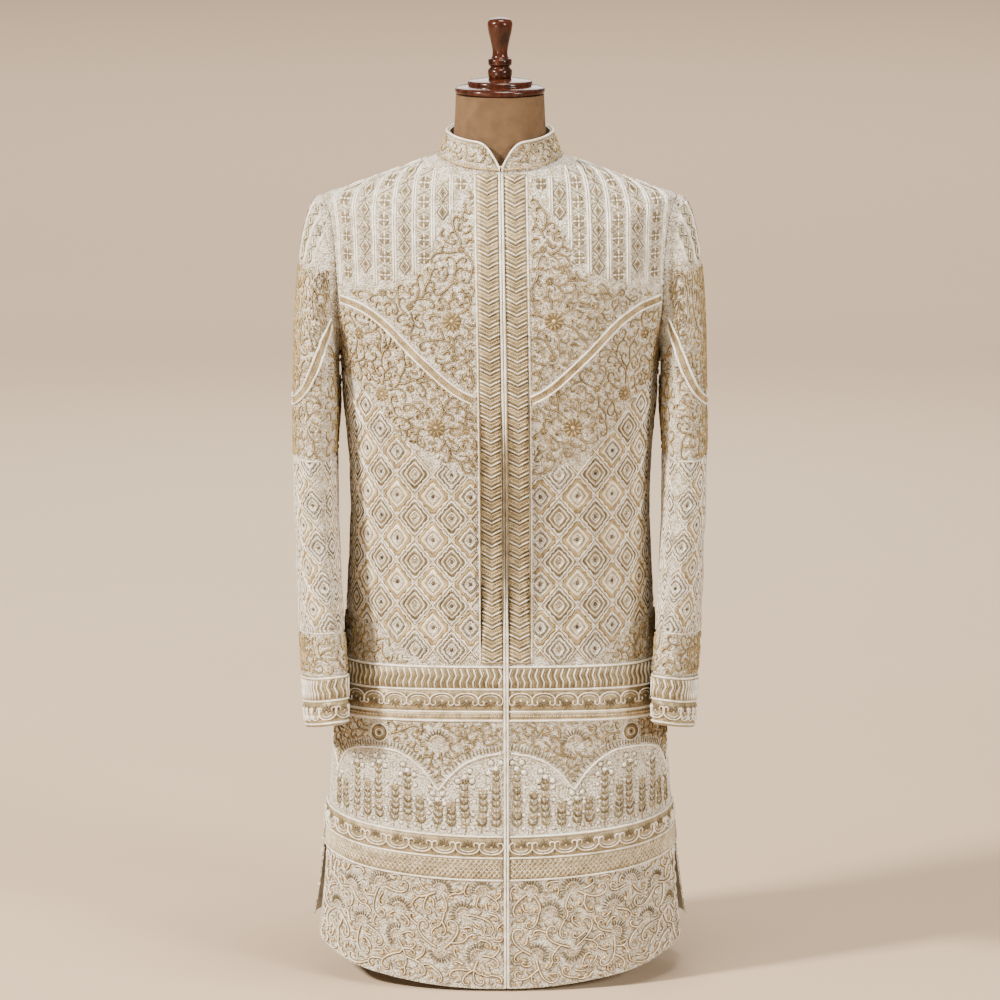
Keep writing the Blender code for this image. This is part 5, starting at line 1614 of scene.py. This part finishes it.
def dressBack():
    top = newWork(backGround)
    span = (-0.285, 0.285)
    backWedge = 0.872
    backLattice = ((0.0, 0.05, 0.12, 0.20, 0.30), (0.655, 0.660, 0.692, 0.735, 0.75))
    columns = both(onBack(0.0025), between(backWedge, 2.0, zeroCenter))
    for side in (1, -1):
        stripedColumns(top, columns, side, zeroCenter, (backWedge + 0.002, 1.035), 0.0)
    overYoke = both(onBack(0.0035), between(raised(yokeBackTable, yoke["width"] + 0.0030), backWedge - 0.001, zeroCenter))
    underYoke = both(onBack(0.0035), between(raised(backLattice, 0.0010), raised(yokeBackTable, -0.0022), zeroCenter))
    latticeZone = both(onBack(0.0035),
                       between(beltRows["high"] + 0.004, raised(backLattice, -0.0015), zeroCenter))

    def flowers(zoneTest):
        def seeds(field):
            found = []
            for side in (1, -1):
                found += daisies(top, field, zoneTest, side, zeroCenter, bigDaisies)
            return found
        return seeds

    vineZone(top, overYoke, span, (0.72, 0.88), flowers(overYoke), chestVine, 41)
    vineZone(top, underYoke, span, (0.64, 0.87), flowers(underYoke), chestVine, 43)
    lattice = newWork(backGround)
    makeLattice(lattice, latticeZone, 0.0240, 0.0272, (0.0, 0.6167), span, (0.40, 0.76))
    latticePiece = seal(lattice, "backLattice")
    q = np.concatenate([-yokeBackPlaces[::-1], yokeBackPlaces])
    level = np.concatenate([yokeBackLevels[::-1], yokeBackLevels])
    good = np.abs(q) < np.interp(level, backGround["levels"], backEdge) - 0.004
    slimBand(top, np.stack([q[good], level[good] + 0.0058], axis=1), yoke["width"], 0.0)
    topPiece = seal(top, "backChest")

    skirt = newWork(backGround)
    overArch = both(onBack(0.0035), between(raised(arch, 0.0125), beltRows["low"] - 0.0024, zeroCenter))
    vineZone(skirt, overArch, span, (0.25, 0.34), (), skirtVine, 47)
    archZone = both(onBack(0.0030), between(borderRows["high"] + 0.002, beltRows["low"] - 0.002, zeroCenter))
    garden = both(onBack(0.0040), between(borderRows["high"] + 0.0022, raised(arch, -0.0024), zeroCenter))
    for side in (1, -1):
        archCords(skirt, archZone, zeroCenter, side)
        sprigs(skirt, garden, (0.009, 0.250), borderRows["high"], zeroCenter, side)
    hemZone = both(onBack(0.0035), between(0.030, borderRows["low"] - 0.0024, zeroCenter))

    def hemFans(field):
        seeds = []
        for q, level, heading in ((0.040, 0.100, 2.2), (0.090, 0.060, 1.0), (0.140, 0.104, 1.6), (0.190, 0.064, 2.2),
                                  (0.232, 0.104, 1.4), (0.0, 0.062, 1.57)):
            for side in (1, -1) if q else (1,):
                spot = np.array([side * q, level])
                turned = heading if side < 0 else math.pi - heading
                fanMotif(skirt, field, spot, turned, 0.0160)
                seeds += [(spot + 0.006 * np.array([math.cos(turned + a), math.sin(turned + a)]), turned + a)
                          for a in (2.2, -2.2)]
        return seeds

    vineZone(skirt, hemZone, span, (0.02, 0.142), hemFans, hemVine, 53)
    skirtPiece = seal(skirt, "backSkirt")

    bands = newWork(backGround)
    for rows in (beltRows, borderRows):
        middle = (rows["low"] + rows["high"]) / 2
        edge = float(np.interp(middle, backGround["levels"], backEdge)) - 0.0010
        if rows is beltRows:
            dressBelt(bands, (-edge, edge), 1)
        else:
            dressBorder(bands, (-edge, edge))
    bandPiece = seal(bands, "backBands", False, ("belt_back", "border_back"))
    return [topPiece, latticePiece, skirtPiece, bandPiece]


leftCloth = frontCloth(1, "frontLeftCloth", "front_left")
rightCloth = frontCloth(-1, "frontRightCloth", "front_right")
backPanel = backCloth()
print("body cloth made")
leftWork = dressFront(1, "Left")
rightWork = dressFront(-1, "Right")
print("fronts embroidered")
backWork = dressBack()
print("back embroidered")


sleeve = {
    "seamTurn": math.radians(112.5),
    "seamGap": coat["seam"] / 2 / 0.03,
    "bandLow": 0.7230,
    "bandSweep": 0.055,
    "bandClimb": 0.135,
    "cuffRows": (0.3272, 0.3554, 0.3840),
    "latticeLow": 0.4406,
    "latticeHigh": 0.6565,
    "headColumns": 0.860,
    "headHeight": 0.893,
}


def sleeveCloth(part, side):
    seam, gap = sleeve["seamTurn"], sleeve["seamGap"]
    turns = (-seam + gap, seam - gap, 61) if part == "upper" else (seam + gap, 2 * math.pi - seam - gap, 37)
    turns = np.linspace(*turns)[None, :]
    straight = np.linspace(sleeveRings[0, 0], coat["biceps"], 96)
    levels = np.concatenate([straight, coat["biceps"] + coat["capRise"] * np.linspace(0, 1, 36)[1:]])[:, None]
    flip = np.array([side, 1, 1])
    outer = lifted(sleevePoint, turns, levels, 0, -1)
    inner = lifted(sleevePoint, turns, levels, -coat["wall"], -1) * flip
    placeName = "left" if side > 0 else "right"
    places = flatPlaces(outer)
    return wallPiece(f"sleeve{part.title()}{placeName.title()}Cloth", outer * flip, inner, places,
                     (f"sleeve_{part}_{placeName}",))


def sleeveBandLevel(turn):
    a = np.abs(turn) / sleeve["seamTurn"]
    return sleeve["bandLow"] + sleeve["bandSweep"] * a**2 + sleeve["bandClimb"] * a**8


def turnAt(ground, place, level):
    turn, _ = planHeight(ground, place, level)
    return turn


def onSleeve(low, high, margin=0.0018, lowest=0.0, highest=2.0):
    # low and high are levels, or the word band for the edge of the diagonal band. lowest and highest are real heights
    real = outerSleeve["grid"][..., 2]
    steps = np.linalg.norm(np.diff(outerSleeve["grid"], axis=0, append=outerSleeve["grid"][-1:]), axis=2) / 0.004

    def inside(place, level):
        turn = turnAt(outerSleeve, place, level)
        i = np.clip(np.rint((place - outerSleeve["places"][0]) / 0.004).astype(int), 0, real.shape[1] - 1)
        j = np.clip(np.rint((level - outerSleeve["levels"][0]) / 0.004).astype(int), 0, real.shape[0] - 1)
        band = sleeveBandLevel(turn)
        clear = 0.0095 + 0.020 * (np.abs(turn) / sleeve["seamTurn"]) ** 5
        good = np.abs(turn) < sleeve["seamTurn"] - margin / 0.045
        good &= (level > (band + clear if low == "band" else low)) & (real[j, i] > lowest) & (real[j, i] < highest)
        good &= (level < 0.77) | (steps[j, i] > 0.45)
        return good & (level < (band - clear if high == "band" else high))
    return inside


def onUnderSleeve(low, high):
    def inside(place, level):
        turn = np.abs(turnAt(innerSleeve, place, level) - math.pi)
        good = (turn < math.pi - sleeve["seamTurn"] - 0.045) & (level > low) & (level < high)
        return good & ((level < 0.748) | (turn > 0.5))
    return inside


def halfRound(level):
    return np.interp(level, outerSleeve["levels"], outerSleeve["arc"][:, -1])


def dressSleeve(side):
    mirror = side < 0
    placeName = "left" if side > 0 else "right"
    name = f"sleeve{placeName.title()}"
    work = newWork(outerSleeve)
    span = (-0.130, 0.130)
    low = sleeve["cuffRows"][2] + 0.0055
    vineZone(work, onSleeve(low, sleeve["latticeLow"] - 0.002), span, (0.375, 0.445), (), sleeveVine, 61 + side)
    makeLattice(work, onSleeve(sleeve["latticeLow"], sleeve["latticeHigh"]), 0.0205, 0.0262, (-0.0615, 0.6290), span,
                (0.43, 0.67), 0.95)
    flowers = [(-0.052, 0.690, 0.0068), (-0.030, 0.672, 0.0062), (0.030, 0.690, 0.0110), (-0.075, 0.700, 0.0062),
               (-0.050, 0.800, 0.0070), (0.004, 0.775, 0.0100), (-0.030, 0.840, 0.0062), (0.050, 0.820, 0.0068)]

    def blossoms(zoneTest):
        def seeds(field):
            found = []
            for place, level, radius in flowers:
                spot = np.array([place, level])
                if zoneTest(spot[None, 0], spot[None, 1])[0]:
                    daisy(work, spot, radius, 11 if radius > 0.009 else 6, "goldThread", turn=9 * place)
                    markField(field, ringPath(spot, radius * 0.5, 12), radius * 0.62)
                    found += [(spot + radius * np.array([math.cos(a), math.sin(a)]), a) for a in (0.4, 2.1, 4.0, 5.2)]
            return found
        return seeds

    under = onSleeve(sleeve["latticeHigh"] + 0.002, "band")
    over = onSleeve("band", 0.974, highest=sleeve["headHeight"] - 0.001)
    vineZone(work, under, span, (0.655, 0.86), blossoms(under), sleeveVine, 67 + side)
    vineZone(work, over, span, (0.72, 0.975), blossoms(over), sleeveVine, 71 + side)
    head = onSleeve(sleeve["headColumns"], 0.9740, lowest=sleeve["headHeight"] + 0.001)
    along = np.arange(sleeve["headColumns"] + 0.002, 0.9740, 0.005)
    for k, place in enumerate(np.arange(-0.0625, 0.0630, 0.0250)):
        for shift in (-0.0014, 0.0014):
            cord(work, np.stack([np.full(along.shape, place + shift), along], axis=1), 0.0021, 0.0014, "whiteThread",
                 head, rounded=True)
        for level in np.arange(sleeve["headColumns"] + 0.010 + 0.010 * (k % 2), 0.968, 0.0205):
            columnDiamond(work, np.array([place + 0.0125, level]), 0.0080, 0.0096, head)
    levelLine = np.arange(-0.10, 0.10, 0.004)
    for level in (sleeve["latticeHigh"], sleeve["latticeLow"]):
        path = np.stack([levelLine, np.full(levelLine.shape, level)], axis=1)
        cord(work, path, 0.0017, 0.0012, "whiteThread", onSleeve(0.3, 1.0, 0.0030), rounded=True)
    made = [seal(work, name + "Work", mirror)]

    inner = newWork(innerSleeve)
    zoneTest = onUnderSleeve(sleeve["latticeLow"], sleeve["latticeHigh"])
    makeLattice(inner, zoneTest, 0.0205, 0.0262, (0.0, 0.6290), (-0.09, 0.09), (0.43, 0.67), 0.95)
    for lowLevel, highLevel, number in ((low, sleeve["latticeLow"] - 0.002, 73),
                                        (sleeve["latticeHigh"] + 0.002, 0.860, 79)):
        vineZone(inner, onUnderSleeve(lowLevel, highLevel), (-0.09, 0.09), (lowLevel - 0.01, highLevel + 0.01), (),
                 {**sleeveVine, "gap": 0.0062}, number)
    made.append(seal(inner, name + "UnderWork", mirror))

    band = newWork(outerSleeve)
    turns = np.linspace(-1, 1, 111) * (sleeve["seamTurn"] - 0.014)
    levels = sleeveBandLevel(turns)
    places = np.array([np.interp(-t, outerSleeve["angles"], outerSleeve["arc"][int(round((level - 0.314) / 0.004))])
                       for t, level in zip(turns, levels)])
    slimBand(band, np.stack([places, levels], axis=1), yoke["width"], 0.0012)
    made.append(seal(band, name + "Band", mirror, (f"sleeve_band_{placeName}",)))

    cuff = newWork(outerSleeve)
    rows = sleeve["cuffRows"]
    reach = float(halfRound(rows[1])) * (math.pi - 0.006) / (math.pi + 0.02)
    span = (-reach, reach)
    bandStrip(cuff, span, rows[0] - 0.0026, rows[1], "oliveThread", 0.0012)
    bandStrip(cuff, span, rows[1] + 0.0001, rows[2] + 0.0026, "oliveThread", 0.0012)
    for level in rows:
        levelCord(cuff, span, level, 0.0028, 0.0024)
    archRow(cuff, span, rows[0] + 0.0014, rows[1] - 0.0014, 0.0240, up=False)
    strokeRow(cuff, span, rows[1] + 0.0004, rows[2] - 0.0004, 0.0084, 1)
    made.append(seal(cuff, name + "Cuff", mirror, (f"cuff_band_{placeName}",),
                     lambda level: halfRound(level) / halfRound(rows[1])))
    return made


leftSleeve = {part: sleeveCloth(part, 1) for part in ("upper", "under")}
rightSleeve = {part: sleeveCloth(part, -1) for part in ("upper", "under")}
leftSleeveWork = dressSleeve(1)
rightSleeveWork = dressSleeve(-1)
print("sleeves made")

collar = {
    "gap": 0.0011,
    "tip": 0.0280,
    "tipPower": 2.4,
    "wall": 0.0022,
    "cordRadius": 0.0012,
    "height": 0.0355,
}


def collarAngles():
    place = float(opening["places"][-1])
    first = float(angleAt(place + collar["gap"], coat["neck"]))
    last = float(angleAt(place - collar["gap"], coat["neck"])) + 2 * math.pi
    tips = np.array([0, 0.010, 0.022, 0.036, 0.052, 0.070, 0.090, 0.115, 0.145, 0.18, 0.22, 0.26])
    return np.concatenate([first + tips, np.linspace(0.31, 2 * math.pi - 0.31, 77), last - tips[::-1]])


def collarReach(angles):
    along = np.minimum(angles - angles[0], angles[-1] - angles) * collarTop[1]
    return np.maximum(1 - np.clip(1 - (along + 0.0012) / collar["tip"], 0, 1) ** collar["tipPower"], 0.12)


def collarCloth():
    angles = collarAngles()
    rises = np.linspace(0, 1, 9)[:, None] * collarReach(angles)[None, :]
    outer = lifted(collarPoint, angles[None, :], rises, 0)
    inner = lifted(collarPoint, angles[None, :], rises, -collar["wall"])
    return wallPiece("collarCloth", outer, inner, flatPlaces(outer), ("collar",))


def tubePiece(name, centres, radius, sides, finish, replaced):
    # a round cord through a row of points, with its ends closed
    ahead = np.gradient(centres, axis=0)
    ahead /= np.linalg.norm(ahead, axis=1, keepdims=True)
    across = np.cross(ahead[0], (0.3, 1.0, 0.2))
    turns = np.arange(sides) * 2 * math.pi / sides
    points = []
    for centre, along in zip(centres, ahead):
        across = across - along * across.dot(along)
        across /= np.linalg.norm(across)
        other = np.cross(along, across)
        points += [centre + radius * (math.cos(t) * across + math.sin(t) * other) for t in turns]
    faces = [[k * sides + j, k * sides + (j + 1) % sides, (k + 1) * sides + (j + 1) % sides, (k + 1) * sides + j]
             for k in range(len(centres) - 1) for j in range(sides)]
    faces += [list(range(sides))[::-1], [(len(centres) - 1) * sides + j for j in range(sides)]]
    return meshPiece(name, points, faces, finish, replaced)


def meshPiece(name, points, faces, finish, replaced, sharp=60):
    mesh = bpy.data.meshes.new(name)
    mesh.from_pydata([tuple(p) for p in points], [], faces)
    work = bmesh.new()
    work.from_mesh(mesh)
    bmesh.ops.recalc_face_normals(work, faces=work.faces)
    work.to_mesh(mesh)
    work.free()
    mesh.materials.append(finishes[finish])
    mesh.shade_smooth()
    mesh.set_sharp_from_angle(angle=math.radians(sharp))
    piece = bpy.data.objects.new(name, mesh)
    bpy.context.scene.collection.objects.link(piece)
    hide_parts(*replaced)
    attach(piece, "root")
    return piece


collarPiece = collarCloth()
angles = collarAngles()
places = np.arange(-0.208, 0.2081, 0.004)
middleLine = collarPoint(angles, np.full(angles.shape, 0.5))
arc = np.concatenate([[0], np.cumsum(np.linalg.norm(np.diff(middleLine, axis=0), axis=1))])
half = arc[-1] / 2
collarLevels = np.arange(0.0, 0.0361, 0.004)
plan = np.empty((len(collarLevels), len(places), 2))
plan[..., 0] = np.interp(places, arc - half, angles)[None, :]
plan[..., 1] = (collarLevels / collar["height"])[:, None]
collarGround = finishGround({"levels": collarLevels, "places": places, "plan": plan, "pointAt": collarPoint}, 1)


def onCollar(place, level):
    along = half - np.abs(place)
    top = collar["height"] * (1 - np.clip(1 - along / collar["tip"], 0, 1) ** collar["tipPower"])
    return (along > 0.0055) & (level > 0.0062) & (level < top - 0.0050)


collarWork = newWork(collarGround)
vineZone(collarWork, onCollar, (-0.205, 0.205), (0.0, 0.036), (), denseVine, 83)
line = np.linspace(-half + 0.0050, half - 0.0050, 140)
rise = collar["height"] * (1 - np.clip(1 - (half - np.abs(line)) / collar["tip"], 0, 1) ** collar["tipPower"]) - 0.0034
cord(collarWork, np.stack([line, np.maximum(rise, 0.0055)], axis=1), 0.0014, 0.0012, "goldThread")
beadSpots = np.arange(-half + 0.006, half - 0.005, 0.0038)
addBeads(collarWork, np.stack([beadSpots, np.full(beadSpots.shape, 0.0046)], axis=1), 0.0011, 0.0011, "goldBead",
         0.0, 5)
collarTrim = seal(collarWork, "collarWork")
reach = collarReach(angles)
seats = np.concatenate([[0.10], reach - 0.03, [0.10]])
tipAngles = np.concatenate([angles[:1] + 0.006, angles, angles[-1:] - 0.006])
tipAngles[1] += 0.006
tipAngles[-2] -= 0.006
rise = collar["cordRadius"] + 0.0004
collarCord = tubePiece("collarEdge", lifted(collarPoint, tipAngles, seats, rise), collar["cordRadius"], 10, "whiteThread",
                       ("collar_edge_cord",))
baseCord = tubePiece("collarBase", lifted(collarPoint, angles[1:-1], 0.05, rise + 0.0004), collar["cordRadius"], 10,
                     "goldThread", ("collar_base_cord",))
turns = np.linspace(-0.8 * math.pi, 0.8 * math.pi, 25)
loopCentre = collarPoint(angleAt(opening["places"][-1], coat["neck"]), 0.10) + np.array([0.0, -0.0042, 0.0])
loopPath = loopCentre + np.stack([0.0022 * np.sin(turns), 0 * turns, 0.0030 * np.cos(turns)], axis=1)
loop = tubePiece("hookLoop", loopPath, 0.0006, 8, "whiteThread", ("hook_loop",))

edgeLevels = np.linspace(0.0049, 1.0095, 220)
for side, name in ((1, "left"), (-1, "right")):
    place = openingX(edgeLevels) + side * 0.0018
    centres = onGround(frontGround, place, edgeLevels, np.full(place.shape, 0.0022))
    tubePiece(f"edge{name.title()}", centres, 0.0014, 10, "whiteThread", (f"edge_cord_{name}",))
heights = np.interp(np.linspace(0.0049, 1.0095, 90), frontGround["levels"], frontGround["heights"][:, 81])[:, None]
across = np.array([-0.0120, -0.0060, 0.0, 0.0060, 0.0120])
angles = angleAt(openingX(heights) + across[None, :], heights)
outer = lifted(bodyPoint, angles, heights, -coat["wall"] - 1.5 * coat["seam"])
inner = lifted(bodyPoint, angles, heights, -coat["wall"] - 1.5 * coat["seam"] - 0.0012)
underlap = wallPiece("underlapCloth", outer, inner, flatPlaces(outer), ("underlap",), "plainSilk")
print("collar and opening made")

form = {
    "bottom": 0.423,
    "insets": ((0.420, 0.600, 0.780, 0.910, 0.976, 0.990, 1.005), (0.0110, 0.0100, 0.0080, 0.0070, 0.0058, 0.0044, 0.0029)),
    "insetMiddle": 0.0030,
    "neck": ((1.019, 1.029, 1.042, 1.062, 1.102), (0.0700, 0.0635, 0.0590, 0.0565, 0.0545),
             (-0.0605, -0.0575, -0.0555, -0.0540, -0.0530), (0.0555, 0.0530, 0.0515, 0.0505, 0.0500)),
    "cap": ((0.0525, 1.1023), (0.0552, 1.1045), (0.0556, 1.1075), (0.0535, 1.1102), (0.0480, 1.1120), (0.0400, 1.1132),
            (0.0398, 1.1165), (0.0375, 1.1188), (0.0180, 1.1215)),
    "finial": ((0.0135, 1.1218), (0.0148, 1.1255), (0.0150, 1.1305), (0.0118, 1.1355), (0.0146, 1.1390), (0.0146, 1.1440),
               (0.0098, 1.1480), (0.0093, 1.1530), (0.0118, 1.1680), (0.0148, 1.1815), (0.0155, 1.1885),
               (0.0120, 1.1945), (0.0015, 1.1970)),
}


def formBody():
    around = np.arange(96) * 2 * math.pi / 96
    rings = []
    for height in np.concatenate([np.linspace(0.431, 0.97, 60), np.linspace(0.976, 1.0053, 8)]):
        inset = float(through(height, *form["insets"])) + form["insetMiddle"] * np.cos(around) ** 2
        rings.append(lifted(smoothBody, around, height, -inset))
    rings.insert(0, rings[0] * np.array([0.93, 0.93, 0.0]) + np.array([0.0, 0.0, form["bottom"]]))
    zs, widths, fronts, backs = form["neck"]
    for z in np.linspace(zs[0], zs[-1], 26):
        x, y = oval(around, through(z, zs, widths), through(z, zs, fronts), through(z, zs, backs))
        rings.append(np.stack([x, y, np.full(around.shape, z)], axis=1))
    points = np.concatenate(rings)
    n = len(around)
    faces = [[k * n + j, k * n + (j + 1) % n, (k + 1) * n + (j + 1) % n, (k + 1) * n + j]
             for k in range(len(rings) - 1) for j in range(n)]
    faces += [list(range(n))[::-1], [(len(rings) - 1) * n + j for j in range(n)]]
    return meshPiece("formBody", points, faces, "taupeLinen", ("form_body",), 50)


def smoothBody(angle, height):
    # the body without the creases of its cloth
    angle, height = np.broadcast_arrays(np.asarray(angle, float), np.asarray(height, float))
    share = np.sin(angle) ** 6
    halfWidth = sectionValue(1, height) * share + sectionValue(2, height) * (1 - share)
    x, y = oval(angle, halfWidth, sectionValue(4, height), sectionValue(6, height))
    middle = np.where(np.cos(angle) >= 0, sectionValue(3, height), sectionValue(5, height))
    return np.stack([x, y, height + (middle - height) * np.cos(angle) ** 2], axis=-1)


def finerProfile(profile, each):
    # rounds a turned outline between its given points
    profile = np.array(profile)
    run = np.concatenate([[0], np.cumsum(np.linalg.norm(np.diff(profile, axis=0), axis=1))])
    steps = np.concatenate([np.linspace(a, b, each, endpoint=False) for a, b in zip(run, run[1:])] + [run[-1:]])
    return list(zip(through(steps, run, profile[:, 0]), through(steps, run, profile[:, 1])))


def turnedPiece(name, profile, sides, node):
    rings = finerProfile(profile, 4)
    bpy.ops.object.select_all(action="DESELECT")
    bpy.ops.mesh.primitive_circle_add(vertices=sides, radius=rings[0][0], location=(0, 0, rings[0][1]),
                                      fill_type="NGON")
    piece = bpy.context.object
    piece.name = name
    bpy.ops.object.mode_set(mode="EDIT")
    bpy.ops.mesh.select_all(action="SELECT")
    for (radius, z), (nextRadius, nextZ) in zip(rings, rings[1:]):
        bpy.ops.mesh.extrude_region_move(TRANSFORM_OT_translate={"value": (0, 0, nextZ - z)})
        bpy.ops.transform.resize(value=(nextRadius / radius, nextRadius / radius, 1))
    bpy.ops.mesh.select_all(action="SELECT")
    bpy.ops.mesh.normals_make_consistent(inside=False)
    bpy.ops.object.mode_set(mode="OBJECT")
    bpy.ops.object.transform_apply(location=True, rotation=True, scale=True)
    bpy.ops.object.shade_smooth_by_angle(angle=math.radians(50))
    piece.data.materials.append(finishes["polishedWood"])
    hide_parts(node)
    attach(piece, "root")
    return piece


formBody()
turnedPiece("neckCap", form["cap"], 96, "neck_cap")
turnedPiece("turnedFinial", form["finial"], 64, "finial")
for node in ("stand_pole", "stand_base"):
    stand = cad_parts[node]
    stand.data.materials.clear()
    stand.data.materials.append(finishes["darkSteel"])
print("dress form made")

declareCloth(leftCloth, (0.265, 1.04))
declareCloth(rightCloth, (0.275, 1.04))
declareCloth(backPanel, (0.52, 1.02))
for cloth, trims in ((leftSleeve, leftSleeveWork), (rightSleeve, rightSleeveWork)):
    declareCloth(cloth["upper"], (0.24, 0.66))
    declareCloth(cloth["under"], (0.17, 0.53))
declareCloth(collarPiece, (0.41, 0.040))
declareCloth(underlap, (0.026, 1.01))

studio = {
    "target": (0.0, 0.0, 0.593),
    "distance": 7.0,
    "elevation": math.radians(10.0),
    "lens": 201.6,
    "sensor": 36.0,
}


def studioFloor():
    # one wide pale floor, which fills the frame
    bpy.ops.object.select_all(action="DESELECT")
    bpy.ops.mesh.primitive_plane_add(size=60.0, location=(0, 0, 0))
    floor = bpy.context.object
    floor.name = "studioFloor"
    bpy.ops.object.mode_set(mode="EDIT")
    bpy.ops.mesh.subdivide(number_cuts=8)
    bpy.ops.object.mode_set(mode="OBJECT")
    floor.data.materials.append(finishes["paleFloor"])


def areaLight(name, place, target, size, power, color):
    data = bpy.data.lights.new(name, "AREA")
    data.shape = "RECTANGLE"
    data.size, data.size_y = size
    data.energy = power
    data.color = color
    light = bpy.data.objects.new(name, data)
    bpy.context.scene.collection.objects.link(light)
    light.location = place
    light.rotation_euler = (Vector(target) - Vector(place)).to_track_quat("-Z", "Y").to_euler()


studioFloor()
areaLight("keyLight", (-3.9, -2.1, 3.5), (0, 0, 0.6), (0.6, 0.6), 780, (1.0, 0.93, 0.83))
areaLight("fillLight", (3.4, -3.2, 2.2), (0, 0, 0.6), (1.2, 1.2), 260, (1.0, 0.94, 0.86))
areaLight("topLight", (0.4, -0.4, 4.2), (0, 0, 0.6), (1.2, 1.2), 150, (1.0, 0.95, 0.88))
areaLight("lowLight", (-2.6, -3.4, 0.45), (-0.1, 0, 0.35), (1.2, 0.5), 40, (1.0, 0.94, 0.86))
areaLight("farLight", (0, 10, 7), (0, 12.5, 0), (9.0, 7.0), 520, (1.0, 0.90, 0.78))
areaLight("backLight", (0.0, 4.0, 2.6), (0, 0, 0.7), (2.4, 2.0), 60, (1.0, 0.95, 0.89))
world = bpy.data.worlds.new("studioAir")
bpy.context.scene.world = world
world.use_nodes = True
world.node_tree.nodes["Background"].inputs["Color"].default_value = (0.92, 0.83, 0.73, 1)
world.node_tree.nodes["Background"].inputs["Strength"].default_value = 0.27
lens = bpy.data.cameras.new("photoCamera")
lens.lens = studio["lens"]
lens.sensor_width = studio["sensor"]
lens.clip_end = 60
camera = bpy.data.objects.new("photoCamera", lens)
bpy.context.scene.collection.objects.link(camera)
camera.location = (0, -studio["distance"] * math.cos(studio["elevation"]),
                   studio["target"][2] + studio["distance"] * math.sin(studio["elevation"]))
camera.rotation_euler = (math.pi / 2 - studio["elevation"], 0, 0)
bpy.context.scene.camera = camera
print("studio ready")
